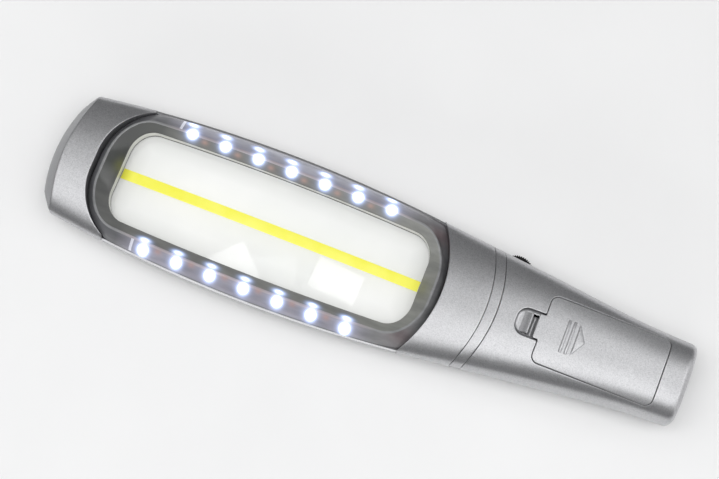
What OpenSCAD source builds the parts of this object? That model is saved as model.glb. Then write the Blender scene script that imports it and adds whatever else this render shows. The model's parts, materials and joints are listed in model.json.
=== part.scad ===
// Hand-held lit bar magnifier: a long lens between two rows of light-emitting diodes (LEDs), a thumbwheel
// at the neck and three AAA cells in the handle. It lies on its back shell, page side up.
// X runs from the head tip to the handle end, Y to the thumbwheel's side, Z up. Millimetres.

/* [Body] */
// Length from the head tip to the handle end
body_len = 281.2; // [278:0.1:284]
// Greatest width of the head
head_w = 66.8; // [65:0.1:69]
// Distance from the head tip to the widest place
widest_x = 97; // [94:1:100]
// Radius of the bowed sides, seen from above
side_r = 620; // [600:10:660]
// Height of the line where the front mouldings meet the back shell
parting_z = 12; // [11.8:0.1:12.5]
// Height of the head's crown
head_top = 19.5; // [19:0.1:20.5]
// Height of the handle's crown
handle_top = 25; // [24.8:0.1:26]
// Wall thickness of the shells
wall = 1.8; // [1.5:0.1:2]

/* [Lens] */
// Length of the opening over the lens
opening_len = 134.9; // [130:0.1:136]
// Width of the opening at its middle
opening_w = 43.6; // [42:0.1:44]
// Radius of both domed faces of the lens
lens_r = 1230; // [1100:10:1500]
// Thickness of the lens rim
lens_rim_t = 1.6; // [1.2:0.1:1.8]
// Width of the yellow reading line
line_w = 4.6; // [3:0.1:6]

/* [Lights] */
// LEDs in each row
led_count = 7; // [3:1:7]
// Distance from one LED to the next
led_pitch = 15; // [12:0.1:15]
// Distance of each row from the lens axis
led_row_y = 26.7; // [26.5:0.1:27]

/* [Handle] */
// Length of the battery door
door_len = 51.1; // [50.5:0.1:51.3]
// Width of the battery door
door_w = 28.8; // [26:0.1:29]
// Gap round the battery door
door_gap = 0.25; // [0.2:0.05:0.35]
// Width of the pocket round the door latch
pocket_w = 11.6; // [11:0.1:12]

/* [Thumbwheel] */
// Radius of the thumbwheel
wheel_r = 7; // [6.5:0.1:7.2]
// Thickness of the thumbwheel
wheel_t = 2.6; // [2:0.1:2.8]
// How far the thumbwheel stands out of the side
wheel_out = 1.9; // [1.4:0.1:2]
// Teeth round the thumbwheel's rim
wheel_teeth = 48; // [24:1:54]

/* [Hidden] */

eps = 0.01;
section_steps = 20; // flats across each half section
station_step = 9; // distance between sections along the body

// Plan form of the body: bowed sides, a straight taper through the neck, then a slight flare
taper = 0.121;
taper_x = widest_x + side_r * taper;
taper_w = head_w / 2 - pow(taper_x - widest_x, 2) / (2 * side_r);
flare_x = 245;
flare_w = taper_w - taper * (flare_x - taper_x);
flare_r = 330;
tip_r = 62; // plan radius of the head's end
corner_cut = [[6.2, 22.4], [10.4, 27]]; // the head's corners are cut off along the line through these
end_round = 3; // rounding of the handle's end
rise_x0 = 150; // the crown rises from the head's height to the handle's between these two places
rise_x1 = 225;
head_square = 2.3; // exponents of the superellipse sections
handle_square = 3.4;
back_square = 4;
back_depth = parting_z + 1.2; // cut off at z = 0, which leaves a flat to rest on

// The bar-shaped outlines: [first x, last x, half width, bow radius, corner length, corner width]
opening_x = 31.2;
opening = [opening_x, opening_x + opening_len, opening_w / 2, 1350, 9.5, 11];
crest = [23.4, 172.1, 26.4, 1000, 15, 19];
shoulder = [21.3, 174.4, 30.6, 800, 22, 25];
crest_z = 17.2;
shoulder_z = 15.3;
lip_z = 16; // height of the cover at the opening's edge
ledge = 1; // the cover stands this far inside the back shell's rim
window_x0 = 20.2;
window_x1 = 175.6;
window_end_r = 27.6;
window_end_y = 4;
window_neck_r = 52;
window_pieces = 40;
curtain = 1.4; // wall that closes each silver moulding toward the window

// Lens
lens_z = 8.5; // underside of the rim
lens_top = 12.3;
seat = 2.3; // the lens's seat reaches this far past the opening
lens_bottom = lens_z + lens_rim_t - (lens_top - lens_z);
line_t = 0.15;
dome_steps = 20;
dome_depth = 8; // more than the lens is thick

// LED boards
board_z = 8;
board_t = 1;
board_w = 5;
board_x0 = 47.5;
board_end = 5; // from the last LED to the board's end
first_led_x = 52.5;
board_len = first_led_x - board_x0 + led_pitch * (led_count - 1) + board_end;
led_size = [3.5, 2.8, 1.7];
hooks_x = [58, 74, 120, 136];

// Neck
seam_r = 66;
seam_x0 = 194.8;
seam_x1 = 199.3;
seam_gap = 0.15;
control_z = 4.6;
control_t = 1.6;

// Handle
door_x0 = 218.6;
door_x1 = door_x0 + door_len;
door_t = 1.6;
door_r = 3;
tab_len = 2.4; // the door's tab reaches this far into the pocket
sign_h = 0.2;
hook_y = 8; // place of the two tabs under the handle shell
hinge_x = door_x1; // the door swings about its far edge
hinge_z = 25.1;
tab_r = 2.9; // the tabs are arcs about the hinge line
tab_t = 1;
tab_w = 2.6;
tab_start = -155; // where the arcs begin and end, in degrees about the hinge line
tab_end = -62;
pocket_x0 = 207.5;
pocket_r = 4.5;
pocket_floor_z = 21.2;
pocket_floor_t = 1;
pocket_floor_x1 = 211;
spring_x = 215.05; // centre of the latch spring's bend
spring_z = 19.8;
spring_r_in = 1.15;
spring_t = 0.8;
spring_w = 8.6;

// Cells
cell_r = 5.25;
cell_body = 43.7;
cell_nub_r = 1.9;
cell_nub = 0.8;
cell_len = cell_body + cell_nub;
cell_y = 5.35;
tray_floor = 0.8;
cell_z = wall + tray_floor + cell_r + 0.05;
upper_cell_z = cell_z + sqrt(pow(2 * cell_r + 0.1, 2) - pow(cell_y, 2));
bay_x0 = 218.4;
bay_x1 = 269.6;
plate_t = 0.4;
plate_half = 3.6;
// [y, z, 1 when the plus end is toward the head]
cell_places = [[-cell_y, cell_z, 1], [cell_y, cell_z, 0], [0, upper_cell_z, 1]];

// Thumbwheel
wheel_x = 201.2;
wheel_y = taper_w - taper * (wheel_x - taper_x) + wheel_out - wheel_r;
wheel_z = 10.9;
shaft_r = 1.5;
shaft_fit = 0.05; // radial play of the shaft in the potentiometer
pot_z = control_z + control_t;
pot_h = 3.6;
slot_gap = 0.5;

// Screws: [x, y]
end_screws = [[13, -14], [13, 14]];
neck_screws = [[184, -17], [184, 17]];
handle_screws = [[206, -16], [275.4, 0]];
screw_places = concat(end_screws, neck_screws, handle_screws);
screw_head_z = 1.2;
screw_head_h = 1.6;
screw_r = 0.9;
screw_len = 14;
boss_r = 3.2;
post_r = 2.5;

// ---------- form of the body ----------

function ease(x, x0, x1) = let (t = min(1, max(0, (x - x0) / (x1 - x0)))) t * t * (3 - 2 * t);

function half_width(x) =
    x < taper_x ? head_w / 2 - pow(x - widest_x, 2) / (2 * side_r) :
    x < flare_x ? taper_w - taper * (x - taper_x) :
    flare_w - taper * (x - flare_x) + pow(x - flare_x, 2) / (2 * flare_r);

function crown(x) = head_top + (handle_top - head_top) * ease(x, rise_x0, rise_x1);

function squareness(x) = head_square + (handle_square - head_square) * ease(x, rise_x0, rise_x1);

// How far the handle's end is rounded in at x
function end_inset(x) =
    let (d = max(0, x - body_len + end_round)) end_round - sqrt(max(0, pow(end_round, 2) - d * d));

// One half section at x: side 1 is the front, side -1 the back
function half_section(x, inset, side) =
    let (
        n = side > 0 ? squareness(x) : back_square,
        w = half_width(x) - end_inset(x) - inset,
        h = (side > 0 ? crown(x) - parting_z : back_depth) - end_inset(x) - inset
    )
    [for (k = [0:section_steps])
        let (c = cos(180 * k / section_steps), s = max(0, sin(180 * k / section_steps)))
        [x, w * sign(c) * pow(abs(c), 2 / n),
            side > 0 ? parting_z + h * pow(s, 2 / n) : max(inset, parting_z - h * pow(s, 2 / n))]];

// The same with its ends carried past the parting line, for hollows
function skirted(ring, side) =
    let (last = ring[section_steps])
    concat([[ring[0].x, ring[0].y, parting_z - side]], ring, [[last.x, last.y, parting_z - side]]);

function reversed(list) = [for (i = [len(list) - 1:-1:0]) list[i]];

// Closed solid through a list of rings that all have the same number of points
module loft(rings, flip = false) {
    n = len(rings[0]);
    m = len(rings);
    sides = [for (r = [0:m - 2], i = [0:n - 1])
        let (j = (i + 1) % n, a = r * n + i, b = (r + 1) * n + i, c = (r + 1) * n + j, d = r * n + j)
        each [[a, b, c], [a, c, d]]];
    faces = concat([[for (i = [0:n - 1]) i]], sides, [[for (i = [n - 1:-1:0]) (m - 1) * n + i]]);
    polyhedron([for (r = rings) each r], flip ? [for (f = faces) reversed(f)] : faces, convexity = 8);
}

function stations(x0, x1) =
    let (n = max(1, ceil((x1 - x0) / station_step))) [for (i = [0:n]) x0 + (x1 - x0) * i / n];

// The rounded end of the handle needs its own closer stations
function body_stations(x0, x1) =
    x1 < body_len - end_round ? stations(x0, x1) :
    concat(stations(x0, body_len - end_round),
        [for (a = [22.5:22.5:90]) min(x1, body_len - end_round + end_round * sin(a))]);

module body_form(x0, x1, side, inset = 0)
    loft([for (x = body_stations(x0, x1)) half_section(x, inset, side)], side < 0);

module body_hollow(x0, x1, side)
    loft([for (x = stations(x0, x1)) skirted(half_section(x, wall, side), side)], side < 0);

// Distance from the axis of the line that cuts off the head's corners
function cut_y(x) =
    let (a = corner_cut[0], b = corner_cut[1]) a.y + (x - a.x) * (b.y - a.y) / (b.x - a.x);

// Everything inside the head's turned end face and its two cut corners
module inside_tip(inset) {
    r = tip_r - inset;
    intersection() {
        translate([tip_r, 0, 0]) rotate_extrude($fn = 144)
            polygon([[0, -1], [r - 4, -1], [r - 3, 0.4], [r - 1.2, 2.4], [r - 0.3, 4.6], [r, 7],
                [r - 0.7, 9], [r - 2.1, 12], [r - 3.8, 15], [r - 5.3, 17.5], [r - 6.7, 19.6],
                [r - 9, 23], [0, 23]]);
        translate([0, 0, -1]) linear_extrude(24) offset(delta = -inset)
            polygon([[-1, -cut_y(-1)], [45, -cut_y(45)], [45, cut_y(45)], [-1, cut_y(-1)]]);
    }
    translate([40, -50, -1]) cube([250, 100, 40]);
}

// ---------- outlines ----------

function grown(s, g) = [s[0] - g, s[1] + g, s[2] + g, s[3], s[4] + g, s[5] + g];

function spread(x0, x1, n) = [for (i = [0:n]) (x0 + x1) / 2 - (x1 - x0) / 2 * cos(180 * i / n)];

function bar_half(s, x) =
    let (h = s[2] - pow(x - widest_x, 2) / (2 * s[3]), d = max(0, s[0] + s[4] - x, x - s[1] + s[4]))
    h - s[5] + s[5] * sqrt(max(0, 1 - pow(d / s[4], 2)));

// Half width of the clear cover's foot: it follows the sides and ends in arcs under the silver caps
function foot_half(x) =
    let (
        d0 = window_x0 + window_end_r - x,
        d1 = x - window_x1 + window_neck_r,
        tip = d0 > 0 ? window_end_y + sqrt(max(0, pow(window_end_r, 2) - d0 * d0)) : head_w,
        neck = d1 > 0 ? sqrt(max(0, pow(window_neck_r, 2) - d1 * d1)) : head_w
    )
    min(half_width(x) - ledge, tip, neck);

module symmetric(points) polygon(concat(points, [for (p = reversed(points)) [p.x, -p.y]]));

module bar(s, n = window_pieces) symmetric([for (x = spread(s[0], s[1], n)) [x, bar_half(s, x)]]);

module bar_slab(s, z, t) translate([0, 0, z]) linear_extrude(t) bar(s);

module foot_slab(inset, z, t)
    translate([0, 0, z]) linear_extrude(t)
        symmetric([for (x = spread(window_x0 + inset, window_x1 - inset - eps, window_pieces))
            [x, max(eps, foot_half(x) - inset)]]);

module rounded_box(x0, x1, w, r, z0, z1)
    hull() for (x = [x0 + r, x1 - r], y = [-w / 2 + r, w / 2 - r])
        translate([x, y, z0]) cylinder(r = r, h = z1 - z0, $fn = 32);

module centred() translate([-body_len / 2, 0, 0]) children();

// ---------- fastening ----------

// Post or boss with a fin along the body
module pillar(place, r, z0, z1)
    hull() {
        translate([place.x, place.y, z0]) cylinder(r = r, h = z1 - z0, $fn = 28);
        translate([place.x - r - 1.5, place.y - 0.6, z0]) cube([1, 1.2, z1 - z0]);
    }

module posts(places) for (p = places) pillar(p, post_r, parting_z - 1, handle_top);

module pilot_holes(places)
    for (p = places) translate([p.x, p.y, parting_z - 2]) cylinder(r = screw_r + 0.1, h = 6.5, $fn = 20);

// ---------- shells ----------

// The window's two ends, where the silver mouldings stop
module window_tip(grow)
    hull() for (side = [-1, 1])
        translate([window_x0 + window_end_r, side * window_end_y, 0])
            cylinder(r = window_end_r + grow, h = 30, $fn = 96);

module window_neck(grow)
    translate([window_x1 - window_neck_r, 0, 0]) cylinder(r = window_neck_r + grow, h = 30, $fn = 144);

module wheel_slot()
    translate([wheel_x, wheel_y, wheel_z - slot_gap])
        cylinder(r = wheel_r + slot_gap, h = wheel_t + 2 * slot_gap, $fn = 48);

module back_shell() color("silver") centred() difference() {
    intersection() {
        body_form(-1, body_len, -1);
        inside_tip(0);
    }
    difference() {
        intersection() {
            body_hollow(0.5, body_len - wall, -1);
            inside_tip(wall);
        }
        for (p = screw_places) pillar(p, boss_r, 0, parting_z);
        bar_slab(grown(opening, seat), 0, lens_z);
        for (side = [-1, 1], x = [board_x0 + 2:(board_len - 6) / 3:board_x0 + board_len])
            hull() {
                translate([x, side * led_row_y - 2, 0]) cube([2, 4, 1]);
                translate([x + 0.4, side * led_row_y - 1.6, 0]) cube([1.2, 3.2, board_z]);
            }
    }
    bar_slab(grown(opening, 0.2), -1, parting_z);
    for (p = screw_places) translate([p.x, p.y, -1]) {
        cylinder(r = screw_r + 0.4, h = parting_z + 2, $fn = 20);
        cylinder(r = 2.5, h = 1 + screw_head_z + screw_head_h, $fn = 28);
    }
    wheel_slot();
}

module head_end_cap() color("silver") centred() difference() {
    intersection() {
        body_form(-1, 35, 1);
        inside_tip(0);
    }
    difference() {
        intersection() {
            body_hollow(0.5, 36, 1);
            inside_tip(wall);
        }
        window_tip(curtain);
        posts(end_screws);
        for (y = [-15:6:15])
            hull() {
                translate([3, y - 0.5, 13.5]) cube([1, 1, 8]);
                translate([16, y - 0.5, 16.5]) cube([1, 1, 4]);
            }
    }
    window_tip(0);
    pilot_holes(end_screws);
}

module neck_cover() color("silver") centred() difference() {
    intersection() {
        body_form(164, seam_x0 + 1, 1);
        translate([seam_x0 - seam_gap - seam_r, 0, 0]) cylinder(r = seam_r, h = 30, $fn = 144);
    }
    difference() {
        body_hollow(163, seam_x0 + 2, 1);
        window_neck(curtain);
        posts(neck_screws);
        for (y = [-12.5:5:12.5])
            hull() {
                translate([181, y - 0.5, 20.2]) cube([1, 1, 3]);
                translate([191, y - 0.5, 18.6]) cube([1, 1, 5]);
            }
    }
    window_neck(0);
    pilot_holes(neck_screws);
}

module neck_band() color("silver") centred() difference() {
    body_form(seam_x0 - 7, seam_x1 + 0.5, 1);
    body_hollow(seam_x0 - 8, seam_x1 + 1.5, 1);
    translate([seam_x0 + seam_gap - seam_r, 0, 0]) cylinder(r = seam_r, h = 30, $fn = 144);
    difference() {
        translate([seam_x0 - 8, -40, 0]) cube([20, 80, 30]);
        translate([seam_x1 - seam_gap - seam_r, 0, -1]) cylinder(r = seam_r, h = 32, $fn = 144);
    }
    translate([seam_x0 - 8, -40, parting_z - 1]) cube([20, 20, 1.9]);
}

module pocket_box(grow, x1, z0)
    hull() {
        for (side = [-1, 1])
            translate([pocket_x0 + pocket_r, side * (pocket_w / 2 - pocket_r), z0])
                cylinder(r = pocket_r + grow, h = 30 - z0, $fn = 40);
        translate([x1 - 1, -pocket_w / 2 - grow, z0]) cube([1, pocket_w + 2 * grow, 30 - z0]);
    }

module handle_front_shell() color("silver") centred() difference() {
    body_form(seam_x1 - 6, body_len, 1);
    difference() {
        body_hollow(seam_x1 - 7, body_len - wall, 1);
        posts(handle_screws);
        pocket_box(1.2, door_x0 - 1.5, pocket_floor_z);
        for (side = [-1, 1], x = [224:14:266])
            hull() {
                translate([x, side * 14.6 - 0.8, 16]) cube([1, 1.6, 8]);
                translate([x, side * 15.4 - 0.4, parting_z]) cube([1, 0.8, 1]);
            }
    }
    // floor of the latch pocket stays as a shelf near the neck, with the catch side open below
    pocket_box(0, door_x0 + 1, pocket_floor_z + pocket_floor_t);
    translate([pocket_floor_x1, -pocket_w / 2, parting_z]) cube([door_x0 - pocket_floor_x1, pocket_w, 15]);
    rounded_box(door_x0 - door_gap, door_x1 + door_gap, door_w + 2 * door_gap, door_r, parting_z, 30);
    translate([seam_x1 + seam_gap - seam_r, 0, 0]) cylinder(r = seam_r, h = 30, $fn = 144);
    pilot_holes(handle_screws);
    wheel_slot();
}

// ---------- head ----------

module snap_hook(x, side) {
    y = half_width(x) - wall - 0.45;
    hull() {
        translate([x - 2, side * (y - 0.6) - 0.6, 9.6]) cube([4, 1.2, parting_z - 8.6]);
        translate([x - 2, side * (y - 0.4) - 0.6, 10.2]) cube([4, 1.2, 0.4]);
    }
}

module led_cover() color([0.55, 0.56, 0.58, 0.5]) centred() {
    difference() {
        hull() {
            foot_slab(0, parting_z, 1);
            bar_slab(shoulder, shoulder_z - 0.1, 0.1);
            bar_slab(crest, crest_z - 0.1, 0.1);
        }
        hull() {
            bar_slab(grown(crest, -0.8), crest_z, 0.1);
            bar_slab(opening, lip_z - 0.1, 0.1);
        }
        bar_slab(opening, parting_z - 1, 10);
        difference() {
            hull() {
                foot_slab(wall, parting_z - 1, 1);
                bar_slab(grown(shoulder, -wall), shoulder_z - 1.7, 0.1);
                bar_slab(grown(crest, -wall), crest_z - 2.2, 0.1);
            }
            bar_slab(grown(opening, wall), parting_z - 2, 10);
        }
    }
    difference() {
        bar_slab(grown(opening, wall), lens_z + lens_rim_t, parting_z - lens_z - lens_rim_t + 1);
        bar_slab(opening, lens_z, 10);
    }
    for (side = [-1, 1], x = hooks_x) snap_hook(x, side);
}

// Solid of revolution under a shallow dome, its top at z, or its upside-down twin
module dome(z, rise = 0, up = 1) {
    reach = opening_len / 2 + opening_w / 4;
    translate([opening_x + opening_len / 2, 0, z]) mirror([0, 0, up > 0 ? 0 : 1])
        rotate_extrude($fn = 180) polygon(concat(
            [for (i = [0:dome_steps])
                let (r = reach * i / dome_steps) [r, rise + sqrt(pow(lens_r, 2) - r * r) - lens_r]],
            [[reach, -dome_depth], [0, -dome_depth]]));
}

module lens() color([0.92, 0.96, 0.95, 0.4]) centred() {
    bar_slab(grown(opening, wall - 0.1), lens_z, lens_rim_t);
    intersection() {
        bar_slab(grown(opening, -0.3), 0, 20);
        dome(lens_top);
        dome(lens_bottom, up = -1);
    }
}

module reading_line() color("yellow") centred() intersection() {
    translate([opening_x + 0.3, -line_w / 2, lens_z]) cube([opening_len - 0.6, line_w, 8]);
    difference() {
        dome(lens_top, rise = line_t);
        dome(lens_top);
    }
}

function led_x(i) = first_led_x + led_pitch * i;

module led_board(side) color("ghostwhite") centred()
    translate([board_x0, side * led_row_y - board_w / 2, board_z]) cube([board_len, board_w, board_t]);

module leds(side) color("white") centred()
    for (i = [0:led_count - 1]) translate([led_x(i), side * led_row_y, board_z + board_t]) {
        translate([-led_size.x / 2, -led_size.y / 2, 0]) cube(led_size);
        cylinder(r = 1.2, h = led_size.z + 0.3);
    }

module led_resistors() color("saddlebrown") centred()
    for (side = [-1, 1], i = [0:led_count - 2])
        translate([led_x(i) + led_pitch / 2 - 1, side * led_row_y - 0.6, board_z + board_t])
            cube([2, 1.2, 0.6]);

// ---------- wiring ----------

function unit(v) = v / norm(v);

// Directions along a path of points
function headings(path) =
    [for (i = [0:len(path) - 1]) unit(path[min(i + 1, len(path) - 1)] - path[max(i - 1, 0)])];

// Round tube along a path
module tube(path, r, sides) {
    along = headings(path);
    loft([for (i = [0:len(path) - 1])
        let (u = unit(cross(along[i], abs(along[i].z) > 0.9 ? [0, 1, 0] : [0, 0, 1])), v = cross(u, along[i]))
        [for (k = [0:sides - 1]) path[i] + r * (cos(360 * k / sides) * u + sin(360 * k / sides) * v)]]);
}

wire_r = 0.6;
wire_drop = 0.3; // the wires lie this far under their route
// From a board's end, round the lens and into the neck: [x, distance from the axis, z]
wire_route = [[150, 27.6, 10.4], [154, 27.4, 10.6], [160, 26.4, 11], [166, 24.4, 11.2], [171, 21.4, 11],
    [176, 18, 10], [181, 12.5, 8.6], [186, 10, 7.6], [191, 9.5, 7.15], [194, 9.5, 7.15]];

module wire(inward) color(inward > 0 ? "black" : "red") centred()
    for (side = [-1, 1])
        tube([for (p = wire_route) [p.x - 0.7 * inward, side * (p.y - inward), p.z - wire_drop]], wire_r, 8);

module control_board() color("darkgreen") centred()
    translate([0, 0, control_z]) linear_extrude(control_t)
        polygon([[189, -12], [214, -12], [214, 19.4], [205, 20.6], [189, 22.6]]);

module driver_parts() color("dimgray") centred() translate([0, 0, control_z + control_t]) {
    translate([205, -6, 0]) cube([4.5, 2.6, 1.5]);
    translate([206, 6, 0]) cylinder(r = 2.5, h = 5.4);
    for (y = [-9, -3, 1]) translate([198, y, 0]) cube([2, 1.2, 0.6]);
}

module potentiometer_body() color("steelblue") centred() difference() {
    translate([wheel_x - 4, wheel_y - 4.2, pot_z]) cube([8, 6.2, pot_h]);
    translate([wheel_x, wheel_y, pot_z + 0.6]) cylinder(r = shaft_r + shaft_fit, h = pot_h);
}

module potentiometer_shaft() color("gainsboro") centred()
    translate([wheel_x, wheel_y, pot_z + 0.8]) cylinder(r = shaft_r, h = wheel_z + wheel_t + 0.4 - pot_z - 0.8);

module thumbwheel() color([0.08, 0.08, 0.08]) centred()
    translate([wheel_x, wheel_y, wheel_z]) difference() {
        cylinder(r = wheel_r, h = wheel_t, $fn = 96);
        translate([0, 0, -1]) cylinder(r = shaft_r, h = wheel_t + 2);
        for (i = [0:wheel_teeth - 1]) rotate(i * 360 / wheel_teeth)
            translate([wheel_r + 0.12, 0, -1]) cylinder(r = 0.3, h = wheel_t + 2, $fn = 16);
    }

// ---------- battery bay ----------

module battery_tray() color("gainsboro") centred() difference() {
    union() {
        translate([bay_x0 - 1, -11.9, wall]) cube([bay_x1 - bay_x0 + 2, 23.8, tray_floor]);
        for (side = [-1, 1])
            translate([bay_x0 - 1, side * 11.35 - 0.55, wall]) cube([bay_x1 - bay_x0 + 2, 1.1, 9]);
        for (x = [bay_x0 - 1, bay_x1]) translate([x, 0, 0]) rotate([90, 0, 90]) linear_extrude(1)
            polygon([[-11.9, wall], [11.9, wall], [11.9, 12], [5.8, 22.2], [-5.8, 22.2], [-11.9, 12]]);
        translate([bay_x0, -0.08, wall]) cube([bay_x1 - bay_x0, 0.16, 4]);
    }
    for (x = [bay_x0 + 8:12:bay_x1 - 4]) translate([x, -8, 0]) cube([4, 16, 3]);
}

// Places a cell's contents with its plus end toward the head or toward the handle's end
module in_bay(place)
    translate([place[2] > 0 ? bay_x0 : bay_x1, place.x, place.y])
        rotate([0, place[2] > 0 ? 90 : -90, 0]) children();

module cell(place) centred() in_bay(place) {
    color("gold") translate([0, 0, plate_t]) cylinder(r = cell_nub_r, h = cell_nub);
    color("darkslategray") translate([0, 0, plate_t + cell_nub]) cylinder(r = cell_r, h = cell_body);
}

spring_turns = 3.5;
spring_wire_r = 0.3;
spring_len = bay_x1 - bay_x0 - 2 * plate_t - cell_len;

module cell_springs() color("lightsteelblue") centred()
    for (p = cell_places) in_bay(p)
        tube([for (i = [0:spring_turns * 12])
            let (t = i / (spring_turns * 12), r = 3.4 - 1.2 * (1 - t))
            [r * cos(30 * i), r * sin(30 * i),
                plate_t + cell_len + spring_wire_r + t * (spring_len - 2 * spring_wire_r)]],
            spring_wire_r, 5);

module contact_plates() color("silver") centred()
    for (p = cell_places) in_bay(p)
        for (z = [0, bay_x1 - bay_x0 - plate_t])
            translate([-plate_half, -plate_half, z]) cube([2 * plate_half, 2 * plate_half, plate_t]);

// ---------- battery door ----------

module door_skin(depth) difference() {
    intersection() {
        body_form(door_x0 - 10, door_x1 + 2, 1);
        union() {
            rounded_box(door_x0, door_x1, door_w, door_r, parting_z, 30);
            translate([door_x0 - tab_len, -pocket_w / 2 + 0.6, parting_z])
                cube([tab_len + 2, pocket_w - 1.2, 20]);
        }
    }
    loft([for (x = stations(door_x0 - 11, door_x1 + 3))
        skirted(half_section(x, depth, 1), 1)]);
}

// Raised sign that points the way the latch is pushed: two bars and a triangle
module push_sign() {
    bar_h = 13.4;
    for (x = [228.4, 230.7])
        hull() for (side = [-1, 1])
            translate([x, side * bar_h / 2, 23]) cylinder(r = 0.5, h = 3, $fn = 16);
    hull() {
        for (side = [-1, 1])
            translate([233, side * bar_h / 2, 23]) cylinder(r = 0.4, h = 3, $fn = 16);
        translate([236.6, 0, 23]) cylinder(r = 0.4, h = 3, $fn = 16);
    }
}

// Tab that curves round the hinge line and under the handle shell, so the door swings about that line
module hinge_tab(y) {
    big = 3 * (tab_r + tab_t);
    translate([hinge_x, y, hinge_z]) rotate([90, 0, 0]) difference() {
        cylinder(r = tab_r + tab_t, h = tab_w, center = true);
        cylinder(r = tab_r, h = tab_w + 2, center = true);
        translate([-big / 2, 0, -big / 2]) cube(big);
        rotate(tab_start) translate([0, -big, -big / 2]) cube(big);
        rotate(tab_end) translate([0, 0, -big / 2]) cube(big);
    }
}

module battery_door() color("silver") centred() {
    door_skin(door_t);
    intersection() {
        push_sign();
        body_form(door_x0, door_x1, 1, -sign_h);
    }
    for (side = [-1, 1]) hinge_tab(side * hook_y);
    // stiffening ribs
    for (side = [-1, 1])
        hull() {
            translate([door_x0 + 5, side * hook_y - 0.5, 21.6]) cube([1, 1, 1.6]);
            translate([door_x1 - 6, side * hook_y - 0.5, 21.6]) cube([1, 1, 1.6]);
        }
    // fixed leg of the latch spring
    translate([spring_x + spring_r_in, -spring_w / 2, spring_z])
        cube([spring_t, spring_w, 3.6]);
}

module door_latch() color("silver") centred() {
    blade_x = spring_x - spring_r_in - spring_t;
    translate([blade_x, -spring_w / 2, spring_z]) cube([spring_t, spring_w, 3]);
    // finger lip, hollowed toward the neck
    translate([0, spring_w / 2, 0]) rotate([90, 0, 0]) linear_extrude(spring_w)
        polygon([[blade_x, 22.5], [210.5, 22.5], [210.3, 23.4], [212, 23.6], [blade_x, 24.3],
            [blade_x + spring_t, 24.3], [blade_x + spring_t, 22.5]]);
    // nose under the pocket's shelf
    translate([blade_x - 1.4, -spring_w / 2, spring_z]) cube([1.5, spring_w, 1]);
}

module latch_spring() color("dimgray") centred()
    translate([spring_x, spring_w / 2, spring_z]) rotate([90, 0, 0]) difference() {
        cylinder(r = spring_r_in + spring_t, h = spring_w);
        translate([0, 0, -1]) cylinder(r = spring_r_in, h = spring_w + 2);
        translate([-4, 0, -1]) cube([8, 4, spring_w + 2]);
    }

module shell_screws() color("darkgray") centred()
    for (p = screw_places) translate([p.x, p.y, screw_head_z]) difference() {
        union() {
            cylinder(r = 2.1, h = screw_head_h);
            cylinder(r = screw_r, h = screw_len);
        }
        for (turn = [0, 90]) rotate(turn) translate([-1.2, -0.3, -1]) cube([2.4, 0.6, 1.7]);
    }

back_shell();
head_end_cap();
neck_cover();
neck_band();
handle_front_shell();
led_cover();
lens();
reading_line();
led_board(1);  // led_board_left
led_board(-1);  // led_board_right
leds(1);  // leds_left
leds(-1);  // leds_right
led_resistors();
wire(-0.8);  // wire_red
wire(0.8);  // wire_black
control_board();
driver_parts();
potentiometer_body();
potentiometer_shaft();
thumbwheel();
battery_tray();
cell(cell_places[1]);  // cell_lower_left
cell(cell_places[0]);  // cell_lower_right
cell(cell_places[2]);  // cell_upper
cell_springs();
contact_plates();
battery_door();
door_latch();
latch_spring();
shell_screws();
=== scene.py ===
import json
import math

import bmesh
import bpy
import numpy as np
from mathutils import Matrix, Vector


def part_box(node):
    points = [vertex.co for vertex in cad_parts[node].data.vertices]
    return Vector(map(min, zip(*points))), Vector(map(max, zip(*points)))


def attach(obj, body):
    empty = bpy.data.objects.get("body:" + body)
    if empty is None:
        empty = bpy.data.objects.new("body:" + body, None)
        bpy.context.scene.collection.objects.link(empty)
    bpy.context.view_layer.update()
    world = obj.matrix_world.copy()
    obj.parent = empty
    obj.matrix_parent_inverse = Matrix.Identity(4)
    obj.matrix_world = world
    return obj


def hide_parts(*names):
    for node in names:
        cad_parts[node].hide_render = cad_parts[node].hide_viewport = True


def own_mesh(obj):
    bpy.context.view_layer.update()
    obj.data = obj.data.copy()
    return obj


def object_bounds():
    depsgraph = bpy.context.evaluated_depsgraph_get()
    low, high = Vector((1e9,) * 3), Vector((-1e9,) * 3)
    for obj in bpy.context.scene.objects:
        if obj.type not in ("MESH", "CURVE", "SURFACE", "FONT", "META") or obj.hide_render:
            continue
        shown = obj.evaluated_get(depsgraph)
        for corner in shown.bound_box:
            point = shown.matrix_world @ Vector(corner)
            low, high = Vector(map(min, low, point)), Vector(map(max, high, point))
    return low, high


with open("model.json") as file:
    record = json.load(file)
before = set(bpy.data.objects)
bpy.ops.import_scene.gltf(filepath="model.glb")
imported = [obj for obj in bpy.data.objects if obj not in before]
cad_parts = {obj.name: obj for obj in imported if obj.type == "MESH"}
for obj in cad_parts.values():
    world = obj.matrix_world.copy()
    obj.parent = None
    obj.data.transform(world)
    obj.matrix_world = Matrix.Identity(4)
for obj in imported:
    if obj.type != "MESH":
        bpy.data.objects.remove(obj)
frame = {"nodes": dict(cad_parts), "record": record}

CAD_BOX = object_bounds()
MM = 0.001
NODE = frame["nodes"]

# ---------- form of the body, in millimetres from the head tip ----------

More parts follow.
